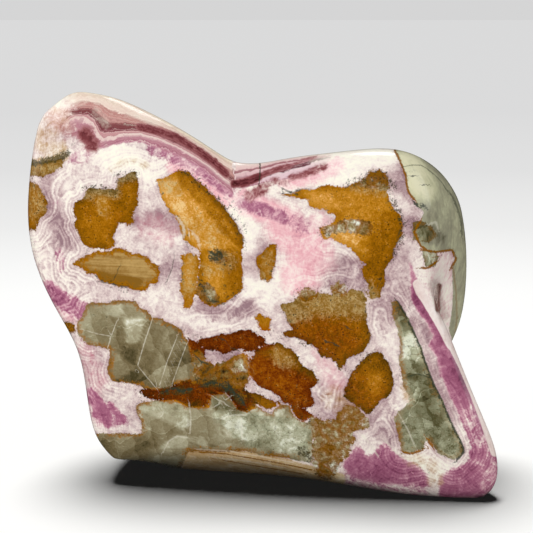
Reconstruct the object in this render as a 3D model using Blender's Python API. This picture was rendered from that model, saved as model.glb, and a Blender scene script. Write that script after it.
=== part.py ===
"""Polished freeform of banded cobaltoan calcite: one stone that stands on a flat cut base.

The stone is modelled as a lapidary would describe it: hoops round it from the polished front face to the
back, joined and smoothed, then ground flat underneath. X runs left to right, Y front to back, Z up. Sizes are
millimetres until the last step. The origin is the middle of the footprint box, on the surface it stands on.
"""

import bmesh
import bpy

MM = 0.001
SIDE = 8  # stations along each side of the face: top, right, bottom, left
FRONT_DEPTH = -22.0  # depth of the front face plane at x = 0, half way up
FRONT_TURN = -0.14  # the face swings towards the viewer to the right
FRONT_LEAN = 0.04  # and leans back towards the top
FRONT_CROWN = 4.5  # how far the middle of the face stands proud
WAIST_DEPTH = -1.0
REAR_DEPTH = 19.0
BACK_DEPTH = 27.0
BACK_TURN = -0.06  # the back swings the same way as the face, by less
BACK_CROWN = 5.0
BACK_INSET = 0.82  # the back face's outline as a share of the rear shoulder's
HALF_HEIGHT = 50.0
STONE_MIDDLE = (0.0, 52.0)  # x, z
GROUND = -1.6  # where the base is ground off flat
SMOOTHING = 2  # subdivision levels
BORDER, EDGE, WAIST, REAR, BACK = range(5)  # the hoops, front to back

# Stations clockwise from the top left. For each: name, then where the hoops pass as (x, z):
# border of the face, front edge, waist, rear shoulder, and how far the edge lies behind the border.
STATIONS = (
    ("peak", (-51.0, 113.0), (-57.0, 119.6), (-56.0, 115.4), (-47.0, 99.0), 9.0),
    ("peak right", (-42.6, 112.8), (-45.0, 118.8), (-44.0, 114.0), (-38.0, 98.0), 9.0),
    ("upper slope", (-33.6, 108.5), (-33.0, 113.4), (-32.0, 108.5), (-28.0, 94.0), 9.0),
    ("middle slope", (-24.2, 102.5), (-22.5, 108.2), (-21.0, 102.5), (-18.0, 89.0), 9.0),
    ("lower slope", (-14.7, 96.4), (-13.5, 102.2), (-11.5, 96.5), (-8.5, 83.5), 9.0),
    ("saddle", (-5.9, 90.5), (-5.9, 97.2), (-3.0, 91.0), (0.0, 79.0), 9.0),
    ("saddle right", (7.5, 92.8), (7.5, 100.6), (9.5, 96.0), (12.0, 84.0), 9.0),
    ("shelf", (23.0, 94.6), (24.0, 101.8), (25.0, 98.6), (26.0, 88.6), 9.0),
    ("top corner", (38.0, 97.0), (40.0, 103.9), (42.2, 100.8), (41.0, 91.0), 9.0),
    ("shoulder top", (43.5, 92.0), (47.5, 98.4), (54.3, 97.6), (56.0, 90.3), 6.0),
    ("shoulder", (45.5, 84.3), (51.0, 88.0), (61.0, 88.8), (64.6, 81.6), 5.0),
    ("lobe top", (46.8, 75.6), (51.5, 77.0), (62.5, 76.0), (68.2, 69.5), 5.0),
    ("lobe", (47.8, 67.4), (51.5, 67.0), (60.0, 63.0), (70.3, 55.5), 5.0),
    ("scoop top", (48.7, 60.1), (52.0, 58.0), (52.0, 51.0), (70.6, 41.4), 4.0),
    ("wing top", (54.4, 46.9), (58.1, 44.3), (50.0, 40.0), (64.0, 28.0), 4.0),
    ("wing", (61.0, 29.0), (64.6, 28.0), (52.0, 26.0), (53.0, 16.0), 4.0),
    ("tip", (69.5, 8.5), (75.2, 5.8), (59.0, 6.0), (47.0, 2.0), 4.0),
    ("tip foot", (66.0, 0.5), (72.0, -3.8), (57.0, -6.0), (44.0, -8.0), 4.0),
    ("foot", (53.1, 1.0), (54.5, -3.8), (46.0, -7.0), (36.0, -9.0), 4.0),
    ("arch right", (39.6, 2.5), (39.5, -2.2), (33.0, -7.0), (26.0, -9.0), 4.0),
    ("arch", (24.2, 5.3), (24.5, 1.0), (20.0, -6.0), (14.0, -9.0), 4.0),
    ("arch middle", (6.3, 8.3), (6.3, 4.6), (3.0, -4.4), (0.0, -9.0), 4.0),
    ("arch left", (-11.8, 10.2), (-12.0, 6.7), (-13.0, -3.6), (-14.0, -9.0), 4.0),
    ("heel right", (-29.5, 10.2), (-30.4, 5.9), (-28.0, -2.0), (-27.0, -9.0), 4.0),
    ("heel", (-43.5, 9.5), (-45.8, 4.7), (-40.5, 3.6), (-38.0, -5.0), 4.0),
    ("heel side", (-47.5, 15.0), (-52.0, 10.0), (-49.5, 10.0), (-45.0, 7.0), 4.0),
    ("shin", (-50.4, 25.1), (-53.2, 22.4), (-53.8, 19.0), (-48.0, 17.0), 4.0),
    ("neck", (-52.0, 40.5), (-54.4, 39.5), (-55.4, 37.0), (-50.0, 35.0), 4.0),
    ("jaw", (-59.6, 53.1), (-62.8, 52.0), (-63.8, 50.0), (-55.0, 47.0), 4.0),
    ("cheek", (-66.6, 69.1), (-70.0, 68.4), (-71.8, 67.0), (-62.0, 62.0), 4.0),
    ("temple", (-67.5, 87.2), (-70.6, 87.5), (-72.5, 85.5), (-63.0, 80.0), 4.0),
    ("brow", (-61.5, 107.0), (-67.6, 111.8), (-66.8, 108.0), (-58.0, 96.0), 6.0),
)

# Arrises left by the polishing: the hoop each runs along, its first and last station, how crisp it is.
ARRISES = (
    (BORDER, "peak", "top corner", 0.35),
    (BORDER, "scoop top", "tip", 0.7),
    (EDGE, "scoop top", "tip", 0.8),
)
# Corners of the outline: the hoop, the station, how crisp it is.
CORNERS = (
    (EDGE, "peak", 0.35),
    (EDGE, "brow", 0.35),
    (EDGE, "saddle", 0.6),
    (EDGE, "tip", 0.25),
    (EDGE, "tip foot", 0.2),
    (EDGE, "heel", 0.6),
    (REAR, "shoulder", 0.3),
)
SADDLE_CREASE = 0.8  # the short fold that runs down the face from the saddle


def clear_scene():
    for old in list(bpy.data.objects):
        bpy.data.objects.remove(old)


def front_depth(x, z):
    """Depth of the front face's plane at a place on it."""
    return FRONT_DEPTH + FRONT_TURN * x + FRONT_LEAN * (z - HALF_HEIGHT)


def hoops():
    """The five closed hoops, front to back, as lists of (x, y, z) in millimetres."""
    border = [(x, front_depth(x, z), z) for _, (x, z), *_ in STATIONS]
    edge = [
        (x, front_depth(*face) + behind, z)
        for _, face, (x, z), _, _, behind in STATIONS
    ]
    waist = [(x, WAIST_DEPTH, z) for *_, (x, z), _, _ in STATIONS]
    rear = [(x, REAR_DEPTH + BACK_TURN * x, z) for *_, (x, z), _ in STATIONS]
    middle_x, middle_z = STONE_MIDDLE
    back = [
        (
            middle_x + BACK_INSET * (x - middle_x),
            BACK_DEPTH + BACK_TURN * x,
            middle_z + BACK_INSET * (z - middle_z),
        )
        for x, _, z in rear
    ]
    return border, edge, waist, rear, back


def between(a, b, share):
    return tuple(p + (q - p) * share for p, q in zip(a, b))


def face_point(hoop, across, down):
    """A point inside a hoop, blended from the hoop's four sides (a Coons patch)."""
    u, v = across / SIDE, down / SIDE
    top, bottom = hoop[across], hoop[3 * SIDE - across]
    right, left = hoop[SIDE + down], hoop[-down % len(hoop)]
    corners = between(
        between(hoop[0], hoop[SIDE], u), between(hoop[3 * SIDE], hoop[2 * SIDE], u), v
    )
    rails = between(top, bottom, v)
    ties = between(left, right, u)
    return [r + t - c for r, t, c in zip(rails, ties, corners)]


def cap(mesh, verts, hoop, crown):
    """Closes a hoop with a grid of faces whose middle stands proud by the crown."""
    grid = {}
    for across in range(SIDE + 1):
        for down in range(SIDE + 1):
            if down == 0:
                grid[across, down] = verts[across]
            elif down == SIDE:
                grid[across, down] = verts[3 * SIDE - across]
            elif across == 0:
                grid[across, down] = verts[-down]
            elif across == SIDE:
                grid[across, down] = verts[SIDE + down]
            else:
                x, y, z = face_point(hoop, across, down)
                u, v = 2 * across / SIDE - 1, 2 * down / SIDE - 1
                y += crown * (1 - u * u) * (1 - v * v)
                grid[across, down] = mesh.verts.new((x, y, z))
    for across in range(SIDE):
        for down in range(SIDE):
            mesh.faces.new(
                (
                    grid[across, down],
                    grid[across + 1, down],
                    grid[across + 1, down + 1],
                    grid[across, down + 1],
                )
            )
    return grid


def stone_cage():
    """The coarse cage of the stone in millimetres, as a bmesh."""
    mesh = bmesh.new()
    sharp_edge = mesh.edges.layers.float.new("crease_edge")
    sharp_vert = mesh.verts.layers.float.new("crease_vert")
    rings = hoops()
    ring_verts = [[mesh.verts.new(p) for p in ring] for ring in rings]
    count = len(STATIONS)
    for front, behind in zip(ring_verts, ring_verts[1:]):
        for i in range(count):
            j = (i + 1) % count
            mesh.faces.new((front[i], front[j], behind[j], behind[i]))
    face = cap(mesh, ring_verts[BORDER], rings[BORDER], -FRONT_CROWN)
    cap(mesh, ring_verts[BACK], rings[BACK], BACK_CROWN)
    names = [name for name, *_ in STATIONS]
    for hoop, first, last, crisp in ARRISES:
        for i in range(names.index(first), names.index(last)):
            pair = ring_verts[hoop][i], ring_verts[hoop][i + 1]
            mesh.edges.get(pair)[sharp_edge] = crisp
    for hoop, name, crisp in CORNERS:
        ring_verts[hoop][names.index(name)][sharp_vert] = crisp
    saddle = names.index("saddle")
    fold = ring_verts[EDGE][saddle], face[saddle, 0], face[saddle, 1]
    for pair in zip(fold, fold[1:]):
        mesh.edges.get(pair)[sharp_edge] = SADDLE_CREASE
    bmesh.ops.recalc_face_normals(mesh, faces=mesh.faces)
    return mesh


def smoothed(cage):
    """The cage as a smooth mesh, subdivided and applied."""
    data = bpy.data.meshes.new("cage")
    cage.to_mesh(data)
    cage.free()
    holder = bpy.data.objects.new("cage", data)
    bpy.context.scene.collection.objects.link(holder)
    smoothing = holder.modifiers.new("polish", "SUBSURF")
    smoothing.levels = smoothing.render_levels = SMOOTHING
    graph = bpy.context.evaluated_depsgraph_get()
    mesh = bmesh.new()
    mesh.from_object(holder, graph)
    bpy.data.objects.remove(holder)
    return mesh


def grind_base(mesh):
    """Cuts the stone off flat at the ground and closes the cut with one flat face."""
    cut = bmesh.ops.bisect_plane(
        mesh,
        geom=mesh.verts[:] + mesh.edges[:] + mesh.faces[:],
        plane_co=(0, 0, GROUND),
        plane_no=(0, 0, 1),
        clear_inner=True,
    )
    rim = [e for e in cut["geom_cut"] if isinstance(e, bmesh.types.BMEdge)]
    for edge in rim:
        edge.smooth = False
    bmesh.ops.contextual_create(mesh, geom=rim)
    bmesh.ops.recalc_face_normals(mesh, faces=mesh.faces)


def centre_on_base(mesh):
    """Puts the middle of the footprint box at x = y = 0, and turns millimetres into metres."""
    for axis in (0, 1):
        low = min(v.co[axis] for v in mesh.verts)
        high = max(v.co[axis] for v in mesh.verts)
        for v in mesh.verts:
            v.co[axis] -= (low + high) / 2
    for v in mesh.verts:
        v.co.z -= GROUND
        v.co *= MM


def stone_material():
    material = bpy.data.materials.new("polished banded calcite")
    material.use_nodes = True
    shader = material.node_tree.nodes["Principled BSDF"]
    shader.inputs["Base Color"].default_value = (0.78, 0.58, 0.60, 1)
    shader.inputs["Roughness"].default_value = 0.18
    shader.inputs["Metallic"].default_value = 0.0
    return material


def make_stone():
    mesh = smoothed(stone_cage())
    grind_base(mesh)
    centre_on_base(mesh)
    data = bpy.data.meshes.new("polished_stone")
    mesh.to_mesh(data)
    mesh.free()
    data.shade_smooth()
    stone = bpy.data.objects.new("polished_stone", data)
    stone.data.materials.append(stone_material())
    bpy.context.scene.collection.objects.link(stone)
    return stone


clear_scene()
make_stone()
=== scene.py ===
import math

import bpy
import numpy as np
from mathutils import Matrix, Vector, noise
from mathutils.bvhtree import BVHTree


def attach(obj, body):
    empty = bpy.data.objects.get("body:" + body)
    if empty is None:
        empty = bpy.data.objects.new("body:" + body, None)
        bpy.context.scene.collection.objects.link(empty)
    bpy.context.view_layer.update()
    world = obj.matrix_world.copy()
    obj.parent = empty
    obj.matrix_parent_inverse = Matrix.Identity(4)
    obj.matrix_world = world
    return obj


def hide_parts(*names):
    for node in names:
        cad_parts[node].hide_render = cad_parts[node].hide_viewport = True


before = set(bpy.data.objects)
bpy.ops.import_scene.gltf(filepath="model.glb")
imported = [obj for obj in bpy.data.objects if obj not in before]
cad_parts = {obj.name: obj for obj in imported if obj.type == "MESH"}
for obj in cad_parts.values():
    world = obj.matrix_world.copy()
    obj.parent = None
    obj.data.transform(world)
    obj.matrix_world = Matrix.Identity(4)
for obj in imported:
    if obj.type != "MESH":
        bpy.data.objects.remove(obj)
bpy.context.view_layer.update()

# ---------------------------------------------------------------------------
# The front chart. The stone's front is charted as it is seen from the camera:
# CHART units across, u to the right and v downwards. A chart unit is UNIT
# millimetres on the front face. What the camera can't see has a reach: how far
# it lies from the nearest seen point, in mm along the surface.
# ---------------------------------------------------------------------------
CHART = 533
CHART_LENS = 1500
UNIT = 0.31
MM = 0.001

CAMERA_RANGE = 0.465
CAMERA_TILT = math.radians(10)
CAMERA_AIM = Vector((0.00198, 0.00012, 0.0651))
CAMERA_SENSOR = 36
CAMERA_NEAREST = 0.01

# The reach over which the front's pattern gives way to that of the hidden sides.
FADE = (3.0, 16.0)
# How far round an outline distances are worked out, in chart units, and the greatest and least kept, in mm.
FRINGE = 80
FAR = 25.0
DEEP = -2
# The distance over which the rings round neighbouring fragments run together, in mm.
CROWDING = 1.6

# ---------------------------------------------------------------------------
# The fragments of older rock on the front: kind, tone from dark to light,
# thickness in mm, and the outline on the chart.
# ---------------------------------------------------------------------------
FRAGMENTS = (
    ("orange", 0.47, 14, ((83, 198), (87, 189), (92, 187), (98, 189), (112, 189), (116, 191), (117, 178),
     (123, 177), (131, 172), (136, 172), (138, 180), (138, 206), (134, 212), (132, 218), (136, 223), (131, 224),
     (127, 228), (127, 223), (120, 223), (117, 228), (113, 237), (116, 243), (114, 247), (109, 251), (104, 248),
     (98, 248), (92, 249), (87, 247), (83, 244), (79, 237), (78, 232), (74, 226), (76, 219), (73, 212), (74, 203),
     (82, 199))),
    ("orange", 0.72, 18, ((156, 180), (164, 178), (172, 173), (179, 170), (187, 171), (193, 176), (199, 182),
     (206, 187), (211, 194), (218, 200), (225, 207), (229, 214), (235, 221), (239, 230), (244, 239), (243, 248),
     (240, 252), (231, 252), (224, 255), (213, 256), (207, 252), (200, 252), (190, 244), (184, 240), (180, 229),
     (177, 217), (170, 213), (165, 203), (160, 193))),
    ("orange", 0.56, 16, ((200, 250), (207, 246), (213, 249), (224, 248), (231, 244), (240, 246), (242, 257),
     (242, 265), (243, 276), (243, 289), (238, 294), (231, 299), (224, 303), (218, 306), (211, 307), (204, 303),
     (200, 301), (198, 296), (196, 294), (197, 281), (200, 272), (200, 257))),
    ("orange", 0.66, 12, ((180, 256), (188, 253), (196, 253), (199, 257), (199, 272), (196, 281), (196, 292),
     (194, 297), (193, 302), (189, 309), (184, 309), (182, 305), (184, 301), (181, 294), (180, 287), (181, 277),
     (181, 267), (183, 261))),
    ("straw", 0.55, 14, ((73, 266), (74, 262), (82, 258), (91, 253), (98, 250), (109, 252), (114, 248), (123, 248),
     (131, 253), (140, 254), (148, 257), (152, 262), (154, 266), (160, 266), (159, 277), (156, 286), (150, 284),
     (146, 291), (137, 291), (127, 287), (117, 286), (109, 283), (100, 282), (96, 274), (87, 273), (82, 268))),
    ("smoke", 0.42, 22, ((76, 327), (78, 321), (82, 317), (87, 304), (93, 302), (107, 303), (116, 300), (136, 301),
     (140, 307), (147, 310), (152, 317), (160, 318), (166, 322), (174, 324), (178, 329), (183, 329), (184, 336),
     (191, 344), (193, 352), (194, 362), (197, 371), (193, 382), (182, 383), (174, 386), (167, 392), (156, 392),
     (144, 389), (140, 386), (127, 383), (113, 382), (109, 377), (107, 369), (109, 362), (111, 354), (109, 349),
     (102, 347), (88, 345), (83, 340), (78, 333))),
    ("smoke", 0.64, 34, ((90, 433), (110, 434), (122, 433), (136, 434), (142, 433), (141, 423), (137, 414),
     (135, 407), (140, 403), (147, 401), (154, 400), (169, 399), (182, 399), (187, 405), (207, 406), (210, 394),
     (224, 391), (233, 401), (238, 409), (247, 410), (252, 404), (258, 406), (266, 412), (271, 414), (277, 406),
     (282, 404), (290, 405), (292, 414), (300, 422), (307, 423), (311, 419), (318, 423), (320, 426), (313, 440),
     (312, 463), (300, 461), (292, 459), (284, 458), (271, 456), (262, 456), (251, 452), (237, 451), (222, 452),
     (211, 452), (200, 451), (188, 452), (180, 470), (164, 480), (147, 480), (118, 480), (90, 470))),
    ("orange", 0.2, 10, ((138, 391), (148, 388), (158, 389), (170, 387), (180, 381), (192, 379), (200, 378),
     (212, 378), (226, 380), (240, 386), (252, 394), (258, 402), (254, 409), (246, 412), (238, 410), (233, 403),
     (226, 393), (211, 396), (209, 407), (198, 408), (186, 406), (176, 402), (166, 401), (150, 400))),
    ("orange", 0.26, 14, ((197, 339), (202, 338), (212, 337), (221, 334), (231, 333), (240, 330), (249, 329),
     (253, 331), (260, 336), (266, 336), (266, 342), (260, 346), (257, 351), (247, 351), (238, 349), (231, 352),
     (222, 354), (217, 352), (213, 350), (204, 349), (197, 344))),
    ("orange", 0.34, 16, ((249, 360), (258, 350), (264, 344), (274, 344), (280, 342), (284, 347), (292, 349),
     (298, 356), (300, 363), (307, 368), (313, 370), (316, 378), (320, 379), (319, 383), (311, 388), (312, 397),
     (316, 404), (308, 408), (302, 408), (309, 412), (318, 419), (309, 418), (302, 422), (296, 417), (291, 409),
     (290, 404), (280, 403), (277, 407), (269, 409), (262, 408), (256, 403), (249, 399), (249, 393), (260, 394),
     (267, 398), (276, 402), (283, 399), (272, 392), (258, 386), (252, 378), (248, 370))),
    ("orange", 0.52, 10, ((257, 256), (262, 253), (266, 248), (270, 245), (277, 243), (277, 249), (276, 261),
     (274, 269), (272, 278), (269, 282), (259, 279), (260, 272), (256, 265))),
    ("orange", 0.64, 18, ((281, 194), (292, 194), (302, 189), (314, 189), (330, 184), (337, 187), (348, 186),
     (356, 183), (370, 181), (387, 188), (389, 200), (394, 209), (398, 213), (402, 218), (403, 224), (402, 236),
     (398, 242), (394, 249), (393, 256), (388, 264), (384, 272), (386, 282), (382, 289), (380, 297), (377, 299),
     (369, 299), (369, 294), (368, 284), (363, 276), (361, 269), (367, 264), (361, 262), (358, 257), (349, 247),
     (338, 242), (331, 238), (324, 240), (319, 234), (321, 227), (330, 225), (337, 216), (332, 214), (322, 209),
     (312, 208), (308, 204), (307, 197), (301, 200), (296, 198))),
    ("orange", 0.34, 20, ((280, 307), (283, 303), (292, 303), (297, 297), (300, 292), (313, 292), (322, 293),
     (331, 295), (333, 285), (338, 287), (343, 286), (347, 293), (352, 289), (360, 291), (364, 289), (366, 302),
     (367, 311), (367, 319), (368, 328), (372, 335), (371, 339), (368, 345), (362, 353), (354, 356), (347, 359),
     (343, 369), (339, 371), (338, 364), (330, 358), (321, 357), (317, 349), (311, 345), (304, 341), (296, 337),
     (286, 338), (282, 333), (283, 332), (293, 329), (287, 322), (286, 315))),
    ("orange", 0.29, 14, ((371, 353), (377, 351), (383, 353), (384, 357), (389, 364), (392, 373), (394, 383),
     (393, 389), (390, 395), (384, 399), (380, 401), (376, 407), (371, 412), (367, 415), (363, 412), (359, 407),
     (353, 405), (349, 401), (344, 397), (343, 389), (348, 382), (351, 373), (357, 367), (363, 359))),
    ("orange", 0.62, 8, ((253, 317), (260, 313), (264, 316), (271, 318), (270, 330), (263, 331), (260, 330),
     (258, 322))),
    ("smoke", 0.54, 20, ((391, 300), (397, 301), (402, 308), (408, 319), (414, 332), (421, 348), (427, 366),
     (433, 382), (438, 393), (444, 404), (448, 415), (451, 423), (454, 429), (459, 438), (463, 447), (464, 451),
     (460, 456), (455, 460), (447, 458), (437, 452), (434, 447), (429, 440), (425, 440), (424, 448), (416, 451),
     (407, 453), (401, 454), (401, 447), (398, 435), (396, 427), (394, 418), (397, 412), (404, 408), (410, 402),
     (408, 395), (403, 385), (401, 372), (399, 360), (400, 345), (398, 330), (393, 319))),
    ("druse", 0.66, 16, ((310, 415), (324, 421), (337, 419), (337, 413), (343, 407), (350, 404), (358, 407),
     (363, 413), (369, 419), (369, 427), (361, 430), (353, 431), (356, 440), (350, 448), (349, 456), (343, 460),
     (338, 468), (335, 477), (329, 480), (318, 478), (312, 463), (313, 440), (310, 425))),
    ("druse", 0.5, 8, ((192, 350), (200, 350), (206, 360), (214, 365), (224, 362), (233, 356), (240, 354),
     (246, 366), (249, 380), (244, 390), (228, 386), (212, 385), (200, 384), (190, 384), (194, 370))),
    ("orange", 0.24, 8, ((188, 338), (199, 343), (206, 350), (205, 358), (196, 362), (190, 352))),
    ("orange", 0.62, 8, ((237, 354), (247, 353), (249, 366), (250, 378), (241, 381), (234, 371))),
    ("druse", 0.95, 6, ((239, 391), (246, 394), (245, 402), (238, 399))),
    ("druse", 0.9, 6, ((321, 228), (330, 226), (345, 219), (358, 219), (370, 222), (375, 228), (370, 236),
     (358, 234), (345, 231), (333, 234), (326, 239))),
    ("druse", 0.45, 6, ((356, 184), (366, 177), (369, 171), (380, 170), (387, 174), (389, 190), (378, 190),
     (366, 188))),
    ("druse", 0.92, 5, ((195, 366), (203, 363), (208, 372), (204, 381), (196, 378))),
    ("druse", 0.12, 5, ((209, 252), (217, 248), (228, 251), (229, 260), (219, 265), (210, 260))),
    ("druse", 0.3, 5, ((197, 285), (206, 282), (214, 288), (219, 298), (218, 305), (206, 304), (198, 297))),
    ("druse", 0.92, 4, ((297, 292), (306, 287), (316, 290), (318, 298), (306, 302), (298, 299))),
    ("druse", 0.88, 4, ((330, 287), (338, 281), (346, 285), (347, 296), (336, 298))),
    ("smoke", 0.4, 8, ((412, 222), (425, 221), (432, 227), (438, 236), (428, 243), (413, 240))),
    ("smoke", 0.62, 8, ((422, 250), (436, 251), (439, 258), (434, 267), (425, 266))),
    ("orange", 0.4, 26, ((20, 163), (45, 162), (66, 158), (62, 167), (52, 173), (44, 177), (36, 176), (20, 176))),
    ("orange", 0.46, 26, ((15, 180), (30, 182), (38, 184), (44, 194), (48, 204), (47, 212), (40, 219), (36, 230),
     (15, 232))),
    ("orange", 0.38, 12, ((60, 322), (68, 322), (75, 324), (76, 332), (68, 334), (60, 330))),
    ("jade", 0.6, 62, ((395, 146), (395, 151), (399, 159), (403, 168), (406, 177), (407, 187), (409, 193),
     (414, 198), (418, 207), (424, 212), (420, 222), (414, 232), (420, 245), (426, 250), (436, 252), (444, 251),
     (452, 250), (456, 259), (452, 268), (453, 290), (452, 310), (449, 330), (455, 350), (500, 350), (500, 140))),
)

# Lighter (+) and darker (-) parts inside the fragments: change of tone, radius, and a line on the chart.
TONE_CHANGES = (
    (-0.08, 4, ((196, 182), (210, 196), (224, 210), (235, 226), (240, 240))),
    (-0.26, 5, ((86, 189), (98, 188), (112, 191))),
    (-0.08, 9, ((84, 204), (92, 208))),
    (-0.26, 6, ((118, 178), (134, 174))),
    (-0.03, 8, ((118, 198), (132, 206))),
    (0.2, 8, ((212, 262), (215, 284))),
    (-0.16, 6, ((232, 262), (236, 286))),
    (0.14, 5, ((190, 262), (189, 282))),
    (0.2, 5, ((188, 346), (180, 376))),
    (-0.2, 12, ((104, 446), (140, 448))),
    (0.2, 20, ((262, 425), (300, 440))),
    (0.22, 5, ((227, 417), (228, 443))),
    (-0.3, 5, ((271, 456), (300, 458))),
    (0.06, 8, ((280, 355), (290, 362))),
    (0.1, 12, ((318, 300), (356, 303))),
    (-0.04, 12, ((304, 382), (302, 400))),
    (-0.24, 15, ((388, 228), (374, 286))),
    (0.06, 9, ((306, 196), (328, 200))),
    (0.22, 8, ((330, 234), (350, 240))),
    (0.1, 8, ((370, 390), (378, 400))),
    (0.08, 8, ((360, 372), (374, 378))),
    (-0.1, 8, ((404, 306), (412, 322))),
    (-0.1, 6, ((424, 396), (438, 420))),
    (0.42, 14, ((406, 164), (420, 186))),
    (0.08, 10, ((440, 196), (452, 216))),
    (-0.08, 11, ((432, 222), (446, 236), (450, 248))),
    (-0.02, 12, ((460, 262), (460, 330))),
)

# Crystal faces with sharp borders inside the fragments: change of tone, and an outline.
FACETS = (
    (-0.11, ((80, 306), (104, 302), (119, 304), (124, 316), (108, 347), (84, 340))),
    (0.3, ((104, 303), (122, 304), (124, 314), (116, 318), (106, 314))),
    (-0.22, ((120, 326), (150, 320), (135, 366), (109, 347))),
    (0.42, ((124, 318), (146, 318), (140, 341), (127, 346))),
    (-0.1, ((154, 320), (168, 325), (150, 376), (138, 366))),
    (0.1, ((168, 325), (186, 343), (161, 386), (150, 376))),
    (-0.16, ((187, 340), (194, 350), (176, 386), (164, 386))),
    (-0.26, ((137, 368), (160, 388), (140, 390), (112, 382))),
    (0.14, ((140, 408), (171, 399), (188, 403), (190, 430), (157, 416))),
    (-0.16, ((142, 412), (157, 418), (186, 432), (172, 436), (156, 450), (144, 446))),
    (0.24, ((160, 449), (175, 435), (194, 437), (186, 448))),
    (0.3, ((191, 441), (202, 436), (210, 450))),
    (0.06, ((190, 406), (208, 404), (208, 438), (191, 437))),
    (0.22, ((208, 406), (222, 414), (222, 446), (208, 444))),
    (0.3, ((223, 416), (244, 414), (244, 440), (225, 438))),
    (-0.14, ((212, 395), (223, 387), (236, 395), (231, 408), (215, 411))),
    (-0.12, ((96, 434), (126, 434), (140, 426), (146, 448), (120, 462), (96, 450))),
    (0.28, ((403, 338), (410, 330), (418, 341), (427, 364), (413, 360), (401, 358))),
    (-0.16, ((390, 300), (400, 300), (408, 318), (404, 328), (394, 322))),
    (0.16, ((416, 334), (421, 346), (418, 350), (411, 338))),
    (-0.06, ((402, 362), (413, 359), (423, 369), (421, 380), (410, 380), (402, 372))),
    (0.26, ((398, 380), (414, 380), (418, 392), (412, 406), (403, 404))),
    (-0.14, ((419, 390), (438, 386), (448, 408), (440, 426), (424, 424), (413, 410))),
    (-0.08, ((426, 424), (444, 418), (452, 430), (440, 440))),
    (0.06, ((395, 413), (412, 411), (423, 428), (402, 434))),
    (0.1, ((402, 436), (426, 430), (430, 442), (418, 452), (402, 452))),
    (0.14, ((439, 436), (453, 433), (464, 446), (456, 460), (442, 455))),
    (0.07, ((96, 252), (118, 253), (131, 276), (87, 265))),
    (0.18, ((118, 253), (132, 254), (153, 264), (156, 275), (137, 277), (131, 276))),
    (-0.34, ((89, 270), (143, 279), (138, 291), (102, 282))),
    (0.21, ((156, 181), (166, 179), (177, 192), (188, 208), (196, 224), (188, 228), (174, 212), (162, 200))),
    (0.1, ((166, 179), (175, 181), (188, 196), (203, 213), (212, 228), (196, 224), (188, 208), (177, 192))),
    (-0.2, ((174, 166), (190, 166), (208, 182), (230, 206), (248, 236), (249, 250), (239, 248), (231, 240),
     (220, 232), (214, 220), (206, 213), (203, 205), (192, 197), (186, 188), (179, 184))),
    (0.1, ((186, 232), (212, 226), (226, 240), (216, 252), (196, 248))),
    (-0.2, ((434, 224), (446, 236), (437, 246), (424, 243), (428, 232))),
    (0.2, ((424, 251), (438, 250), (436, 262), (426, 266))),
    (0.16, ((95, 197), (106, 196), (110, 207), (104, 218), (96, 212))),
    (0.12, ((304, 188), (326, 192), (340, 205), (333, 214), (318, 210), (306, 203))),
    (0.07, ((270, 346), (284, 348), (292, 358), (284, 368), (272, 362))),
    (0.12, ((366, 372), (378, 368), (386, 382), (378, 396), (368, 390))),
)

# Where the crystals are a cool grey green: strength and an outline.
SAGE = (
    (1.0, ((400, 300), (416, 300), (426, 334), (440, 384), (470, 440), (468, 464), (402, 460), (402, 410),
     (412, 400), (406, 380), (403, 350), (397, 320))),
    (0.9, ((408, 216), (446, 216), (446, 270), (408, 270))),
    (0.7, ((208, 388), (240, 388), (250, 412), (320, 420), (320, 456), (246, 448), (214, 420))),
    (0.15, ((76, 296), (128, 296), (124, 330), (108, 348), (72, 348))),
)

# Parts of the orange fragments weathered to a dull olive tan: strength, radius, line.
DUSTY = (
    (0.95, 17, ((320, 297), (345, 298), (364, 300))),
    (0.8, 13, ((286, 310), (303, 308))),
    (0.35, 6, ((97, 200), (104, 207))),
    (0.55, 10, ((208, 268), (228, 262))),
    (0.42, 13, ((192, 226), (214, 236))),
    (0.5, 6, ((100, 200), (104, 212))),
    (0.6, 6, ((268, 256), (264, 274))),
    (0.6, 6, ((356, 187), (388, 192))),
    (0.55, 8, ((166, 184), (176, 190))),
    (0.6, 8, ((190, 262), (188, 290))),
    (0.62, 9, ((279, 356), (286, 362))),
    (0.75, 9, ((84, 190), (112, 190))),
    (0.7, 7, ((118, 177), (136, 174))),
    (0.8, 10, ((36, 168), (60, 166))),
    (0.55, 10, ((32, 190), (40, 214))),
    (0.45, 8, ((242, 358), (244, 376))),
)

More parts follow.
